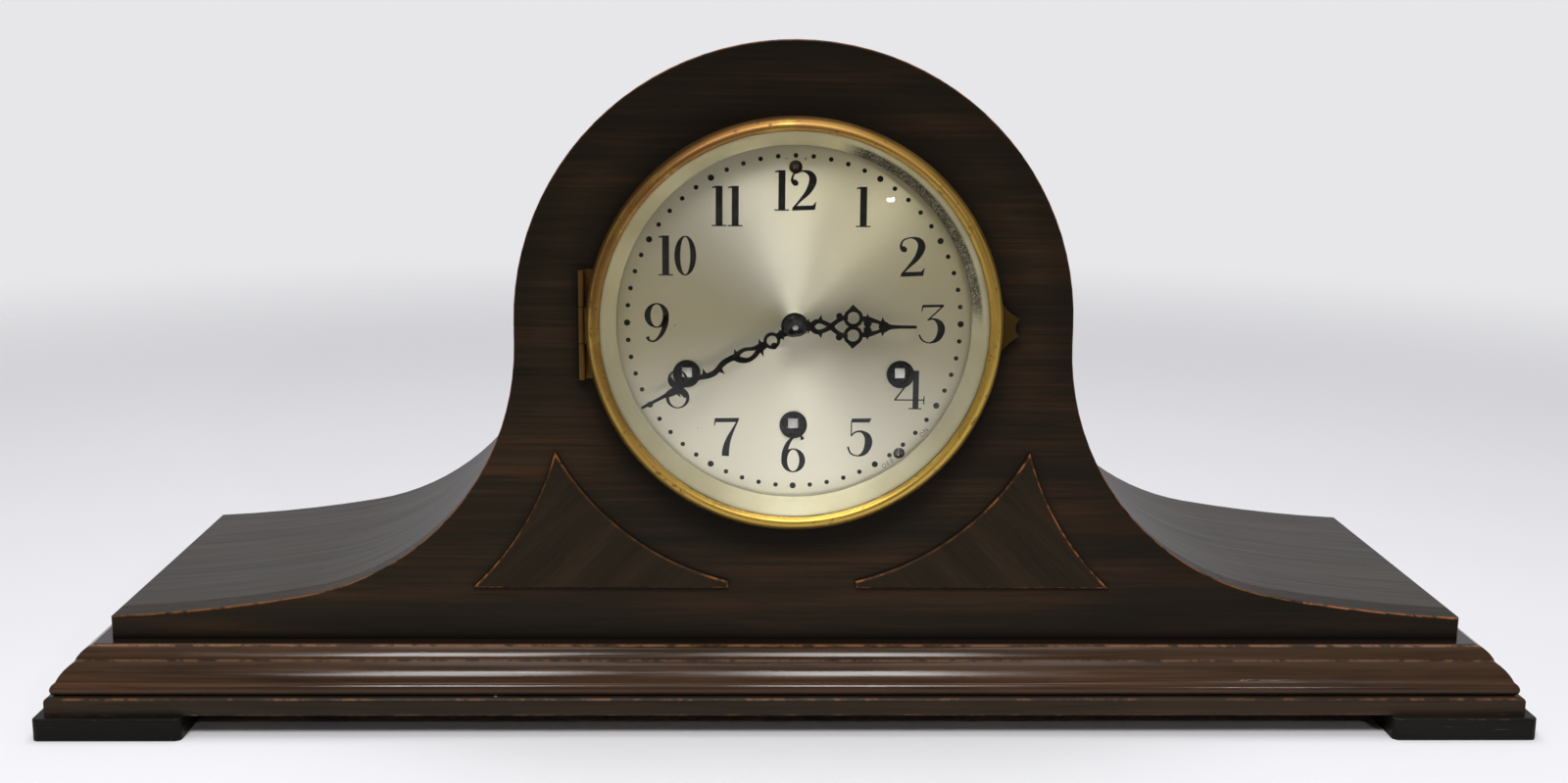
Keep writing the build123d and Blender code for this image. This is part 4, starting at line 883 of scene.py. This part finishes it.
# Letters in a box one unit high
LETTERS = {
    "O": (0.85, [loop(0.42, 0.5, (0.42, 0.5), (0.33, 0.41))]),
    "N": (
        0.75,
        [bar(0, 0, 0.09, 1), bar(0.66, 0, 0.75, 1), wedge((0, 1), (0.12, 1), (0.75, 0), (0.63, 0))],
    ),
    "F": (0.6, [bar(0, 0, 0.09, 1), bar(0.09, 0.91, 0.6, 1), bar(0.09, 0.46, 0.5, 0.55)]),
    "+": (0.8, [bar(0, 0.46, 0.8, 0.55), bar(0.355, 0.12, 0.445, 0.46), bar(0.355, 0.55, 0.445, 0.89)]),
    "-": (0.8, [bar(0, 0.46, 0.8, 0.55)]),
}
LETTER_GAP = 0.35


def write_round(sheet, text, circle, bearing, flip):
    """Write small letters along a circle, with their middle at a bearing clockwise from twelve."""
    height = MARK_HEIGHT / MM
    widths = [LETTERS[letter][0] for letter in text]
    along_line = -(sum(widths) + LETTER_GAP * (len(text) - 1)) / 2
    for letter, width in zip(text, widths):
        for left_row, right_row, closed in LETTERS[letter][1]:
            rows = []
            for row in (left_row, right_row):
                bent = []
                for x, y in row:
                    run = (along_line + x) * height / circle
                    angle = math.radians(bearing) + (-run if flip else run)
                    reach = circle + (0.5 - y if flip else y - 0.5) * height
                    bent.append((reach * math.sin(angle), reach * math.cos(angle)))
                rows.append(bent)
            sheet.strip(*rows, closed)
        along_line += width + LETTER_GAP


def dial_marks():
    """Signs beside the regulator and small words beside the chime selector."""
    sheet = Print()
    write_round(sheet, "-", SIGN_CIRCLE / MM, -SIGN_BEARING, False)
    write_round(sheet, "+", SIGN_CIRCLE / MM, SIGN_BEARING, False)
    write_round(sheet, "OFF", MARK_CIRCLE / MM, OFF_BEARING, True)
    write_round(sheet, "ON", MARK_CIRCLE / MM, ON_BEARING, True)
    return sheet.finish("dial_marks")


# Screws and nuts on the back and in the movement


HALF_STEPS = 12
SLOT_FLOOR = 0.35
SLOT_HALF_WIDTH = 0.16
HEAD_SHOULDER = 0.6
HEAD_CROWN = 0.68
FIRST_SLOT_TURN = 0.4
SLOT_TURN_STEP = 1.9
BACKWARD = Vector((0, 1, 0))
DOWNWARD = Vector((0, 0, -1))


class Hardware:
    """Small turned pieces, each built up from its seat along an axis and gathered in one mesh."""

    def __init__(self):
        self.mesh = bmesh.new()

    def loft(self, seat, axis, rows):
        """Close a solid over rows of (across, up, height) points of equal count."""
        across = Vector((1, 0, 0))
        up = axis.cross(across)
        made = []
        for row in rows:
            places = [seat + MM * (x * across + y * up + h * axis) for x, y, h in row]
            made.append([self.mesh.verts.new(place) for place in places])
        for low, high in zip(made, made[1:]):
            for i in range(len(low)):
                self.mesh.faces.new((low[i - 1], low[i], high[i], high[i - 1]))
        self.mesh.faces.new(list(reversed(made[0])))
        self.mesh.faces.new(made[-1])

    def turned(self, seat, axis, profile, corners=24, turn=0.0):
        """A solid turned about its axis from (radius, height) points, or filed to a few corners."""
        angles = [turn + 2 * math.pi * i / corners for i in range(corners)]
        self.loft(seat, axis, [[(r * math.cos(a), r * math.sin(a), h) for a in angles] for r, h in profile])

    def slotted(self, seat, axis, radius, height, turn):
        """A domed screw head with a driver slot."""
        floor_height = SLOT_FLOOR * height
        slot = SLOT_HALF_WIDTH * radius
        shoulder = (radius, HEAD_SHOULDER * height)
        crown = (HEAD_CROWN * radius, height)
        self.turned(seat, axis, [(radius, 0.0), (radius, floor_height)])
        for half_turn in (0, math.pi):
            rows = []
            for reach, rise in ((radius, floor_height), shoulder, crown):
                start = math.asin(slot / reach)
                row = []
                for i in range(HALF_STEPS + 1):
                    angle = start + (math.pi - 2 * start) * i / HALF_STEPS + half_turn + turn
                    row.append((reach * math.cos(angle), reach * math.sin(angle), rise))
                rows.append(row)
            self.loft(seat, axis, rows)

    def finish(self, name, body, slot):
        return place_piece(self.mesh, name, finishes[slot], body)


# Sizes in millimetres. Back screws come in pairs, each (out from the middle, up from the floor).
BACK_SCREW_PAIRS = ((55, 215), (86, 124), (158, 38.5), (34, 46))
BACK_SCREW = (2.7, 1.3)
HINGE_SCREW = (2.1, 0.8)
HINGE_HEIGHT = 24.0
HINGE_LEAF_RISE = 1.0
HINGE_SCREW_SPREAD = 6.8
HINGE_SCREW_INSET = 5.2
PILLAR_INSET = 6.0
NUT_PROFILE = ((3.6, 0.0), (4.2, 0.35), (4.2, 2.3), (3.5, 2.7))
STUD_PROFILE = ((1.6, 2.6), (1.6, 3.5), (1.2, 3.9))
RATING_STEM = ((0.9, -3.0), (0.9, 9.5), (0.5, 10.0))
RATING_NUT = ((3.2, 1.4), (4.0, 1.9), (4.0, 4.4), (3.2, 4.9))


def slot_turn(index):
    """The slots of a row of screws come to rest at different angles."""
    return FIRST_SLOT_TURN + SLOT_TURN_STEP * index


def back_panel_screws():
    made = Hardware()
    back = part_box("back_panel")[1].y
    places = [(side * out, up) for out, up in BACK_SCREW_PAIRS for side in (-1, 1)]
    for index, (x, z) in enumerate(places):
        made.slotted(Vector((x * MM, back, z * MM)), BACKWARD, *BACK_SCREW, slot_turn(index))
    return made.finish("back_panel_screws", "case", "steel")


def rear_hinge_screws(name, leaves, side, body):
    """Two screws in each of the two leaves on one side of the rear hinges."""
    made = Hardware()
    low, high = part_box(leaves)
    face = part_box("back_panel")[1].y + HINGE_LEAF_RISE * MM
    x = high.x - HINGE_SCREW_INSET * MM if side > 0 else low.x + HINGE_SCREW_INSET * MM
    half = HINGE_HEIGHT / 2 * MM
    index = 0
    for middle in (low.z + half, high.z - half):
        for offset in (-HINGE_SCREW_SPREAD, HINGE_SCREW_SPREAD):
            seat = Vector((x, face, middle + offset * MM))
            made.slotted(seat, BACKWARD, *HINGE_SCREW, slot_turn(index))
            index += 1
    return made.finish(name, body, "steel")


def pillar_nuts():
    """Nuts on the pillars of the back plate, save where the hammer rail is bolted on."""
    made = Hardware()
    low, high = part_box("movement_back_plate")
    inset = PILLAR_INSET * MM
    left, right = low.x + inset, high.x - inset
    bottom, top = low.z + inset, high.z - inset
    for index, (x, z) in enumerate(((left, bottom), (left, top), (right, top))):
        seat = Vector((x, high.y, z))
        made.turned(seat, BACKWARD, NUT_PROFILE, 6, slot_turn(index))
        made.turned(seat, BACKWARD, STUD_PROFILE, 16)
    return made.finish("pillar_nuts", "case", "movement_brass")


def rating_nut():
    """Stem and nut under the bob."""
    made = Hardware()
    low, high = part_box("pendulum_bob")
    seat = Vector(((low.x + high.x) / 2, (low.y + high.y) / 2, low.z))
    made.turned(seat, DOWNWARD, RATING_STEM, 14)
    made.turned(seat, DOWNWARD, RATING_NUT, 10)
    return made.finish("rating_nut", "pendulum", "movement_brass")


# Stage, light and camera


FLOOR_RADIUS = 1.5
FLOOR_FADE = 0.55
FLOOR_FRONT = 0.26
PALE = (0.80, 0.80, 0.825)


def floor():
    """Round pale floor that fades into the surroundings."""
    mesh = bmesh.new()
    bmesh.ops.create_grid(mesh, x_segments=2, y_segments=2, size=FLOOR_RADIUS)
    data = bpy.data.meshes.new("floor")
    mesh.to_mesh(data)
    mesh.free()
    g = Graph("floor_paper")
    cloud = g.noise((3, 3, 3), 3.0)
    tint = g.mix(g.ease(cloud, 0.3, 0.7), PALE, tuple(0.985 * value for value in PALE))
    shader, output = g.surface(base_color=tint, roughness=0.8, specular_ior_level=0.2)
    distance = g.math("SQRT", g.add(g.times(g.x, g.x), g.times(g.y, g.y)))
    clear = g.node("ShaderNodeBsdfTransparent")
    front = g.ease(g.y, -FLOOR_FRONT, -FLOOR_FRONT - 0.3)
    fade = g.math("MAXIMUM", front, g.ease(distance, FLOOR_FADE, 0.95 * FLOOR_RADIUS))
    both = g.node("ShaderNodeMixShader", {0: fade, 1: shader.outputs[0], 2: clear.outputs[0]})
    g.tree.links.new(both.outputs[0], output.inputs[0])
    data.materials.append(g.material)
    plate = bpy.data.objects.new("floor", data)
    bpy.context.scene.collection.objects.link(plate)


FILL_LOW = 0.012
FILL_HIGH = 0.98
ROOM_DARK = 0.12
ROOM_WARM = (0.95, 0.80, 0.52)
ROOM_BRIGHT = 0.85
ROOM_ABOVE = 0.40


def world_light():
    """Pale surroundings behind the clock and a dim room in front of it."""
    world = bpy.data.worlds.new("studio")
    bpy.context.scene.world = world
    world.use_nodes = True
    tree = world.node_tree
    tree.nodes.clear()

    def made(kind, inputs, **settings):
        node = tree.nodes.new(kind)
        for key, value in settings.items():
            setattr(node, key, value)
        for key, value in inputs.items():
            if isinstance(value, bpy.types.NodeSocket):
                tree.links.new(value, node.inputs[key])
            else:
                node.inputs[key].default_value = value
        return node.outputs

    def calc(operation, first, second, **settings):
        return made("ShaderNodeMath", {0: first, 1: second}, operation=operation, **settings)[0]

    def smooth(value, start, end, low, high):
        inputs = {"Value": value, "From Min": start, "From Max": end, "To Min": low, "To Max": high}
        return made("ShaderNodeMapRange", inputs, interpolation_type="SMOOTHSTEP")[0]

    path = made("ShaderNodeLightPath", {})
    ray = made("ShaderNodeTexCoord", {})["Generated"]
    axes = made("ShaderNodeSeparateXYZ", {0: ray})
    behind = smooth(axes[1], -0.35, 0.15, ROOM_DARK, ROOM_BRIGHT)
    above = smooth(axes[2], 0.50, 0.95, ROOM_DARK, ROOM_ABOVE)
    room = calc("MAXIMUM", behind, above)
    fill = smooth(axes[2], 0.42, 0.95, FILL_LOW, FILL_HIGH)
    seen = path["Is Camera Ray"]
    for name in ("Is Glossy Ray", "Is Transmission Ray"):
        seen = calc("MAXIMUM", seen, path[name])
    scattered = calc("GREATER_THAN", path["Diffuse Depth"], 0.5)
    mirrored = calc("GREATER_THAN", path["Glossy Depth"], 0.5)
    shown = made("ShaderNodeMix", {0: mirrored, 2: 1.0, 3: room})[0]
    direct = calc("SUBTRACT", seen, scattered, use_clamp=True)
    strength = made("ShaderNodeMix", {0: direct, 2: fill, 3: shown})[0]
    dimming = {"Value": room, "From Max": ROOM_BRIGHT, "To Min": 1.0, "To Max": 0.0}
    dim = made("ShaderNodeMapRange", dimming)[0]
    warm = calc("MULTIPLY", dim, calc("MULTIPLY", direct, mirrored))
    tint = made("ShaderNodeMix", {0: warm, 6: (*PALE, 1), 7: (*ROOM_WARM, 1)}, data_type="RGBA")[2]
    background = made("ShaderNodeBackground", {"Color": tint, "Strength": strength})
    made("ShaderNodeOutputWorld", {0: background[0]})


def softbox(name, place, target, size, power, shape="RECTANGLE"):
    data = bpy.data.lights.new(name, "AREA")
    data.shape = shape
    data.size, data.size_y = size
    data.energy = power
    lamp = bpy.data.objects.new(name, data)
    bpy.context.scene.collection.objects.link(lamp)
    lamp.location = place
    lamp.rotation_euler = (Vector(target) - Vector(place)).to_track_quat("-Z", "Y").to_euler()


def photo_camera():
    yaw, pitch, roll = CAMERA_YAW, CAMERA_PITCH, CAMERA_ROLL
    forward = Vector((math.sin(yaw) * math.cos(pitch), math.cos(yaw) * math.cos(pitch), -math.sin(pitch)))
    level = Vector((math.cos(yaw), -math.sin(yaw), 0))
    down = forward.cross(level)
    right = math.cos(roll) * level + math.sin(roll) * down
    up = math.sin(roll) * level - math.cos(roll) * down
    data = bpy.data.cameras.new("photo_camera")
    data.sensor_width = SENSOR_WIDTH
    data.lens = FOCAL_PIXELS * SENSOR_WIDTH / IMAGE_WIDTH
    camera = bpy.data.objects.new("photo_camera", data)
    bpy.context.scene.collection.objects.link(camera)
    turn = Matrix((right, up, -forward)).transposed()
    camera.matrix_world = Matrix.Translation(CAMERA_FROM_FRONT + Vector((0, FRONT_Y, 0))) @ turn.to_4x4()
    bpy.context.scene.camera = camera


dress_nodes()
dial_numerals()
minute_dots()
dial_marks()
back_panel_screws()
rear_hinge_screws("rear_hinge_case_screws", "rear_hinge_case_leaves", 1, "case")
rear_hinge_screws("rear_hinge_door_screws", "rear_hinge_door_leaves", -1, "rear_door")
pillar_nuts()
rating_nut()
floor()
world_light()
softbox("overhead_softbox", (0.0, 0.15, 1.30), (0, 0, 0.1), (0.8, 0.8), 5)
softbox("left_softbox", (-0.36, -0.95, 1.25), (0, 0, 0.12), (0.24, 0.4), 7.2)
softbox("right_softbox", (0.12, -0.95, 1.25), (0, 0, 0.12), (0.24, 0.4), 7.6)
softbox("small_lamp", (0.57, -1.25, 0.66), (0.03, -0.06, 0.19), (0.05, 0.024), 1.5, "ELLIPSE")
photo_camera()
bpy.context.scene.view_settings.view_transform = "Standard"
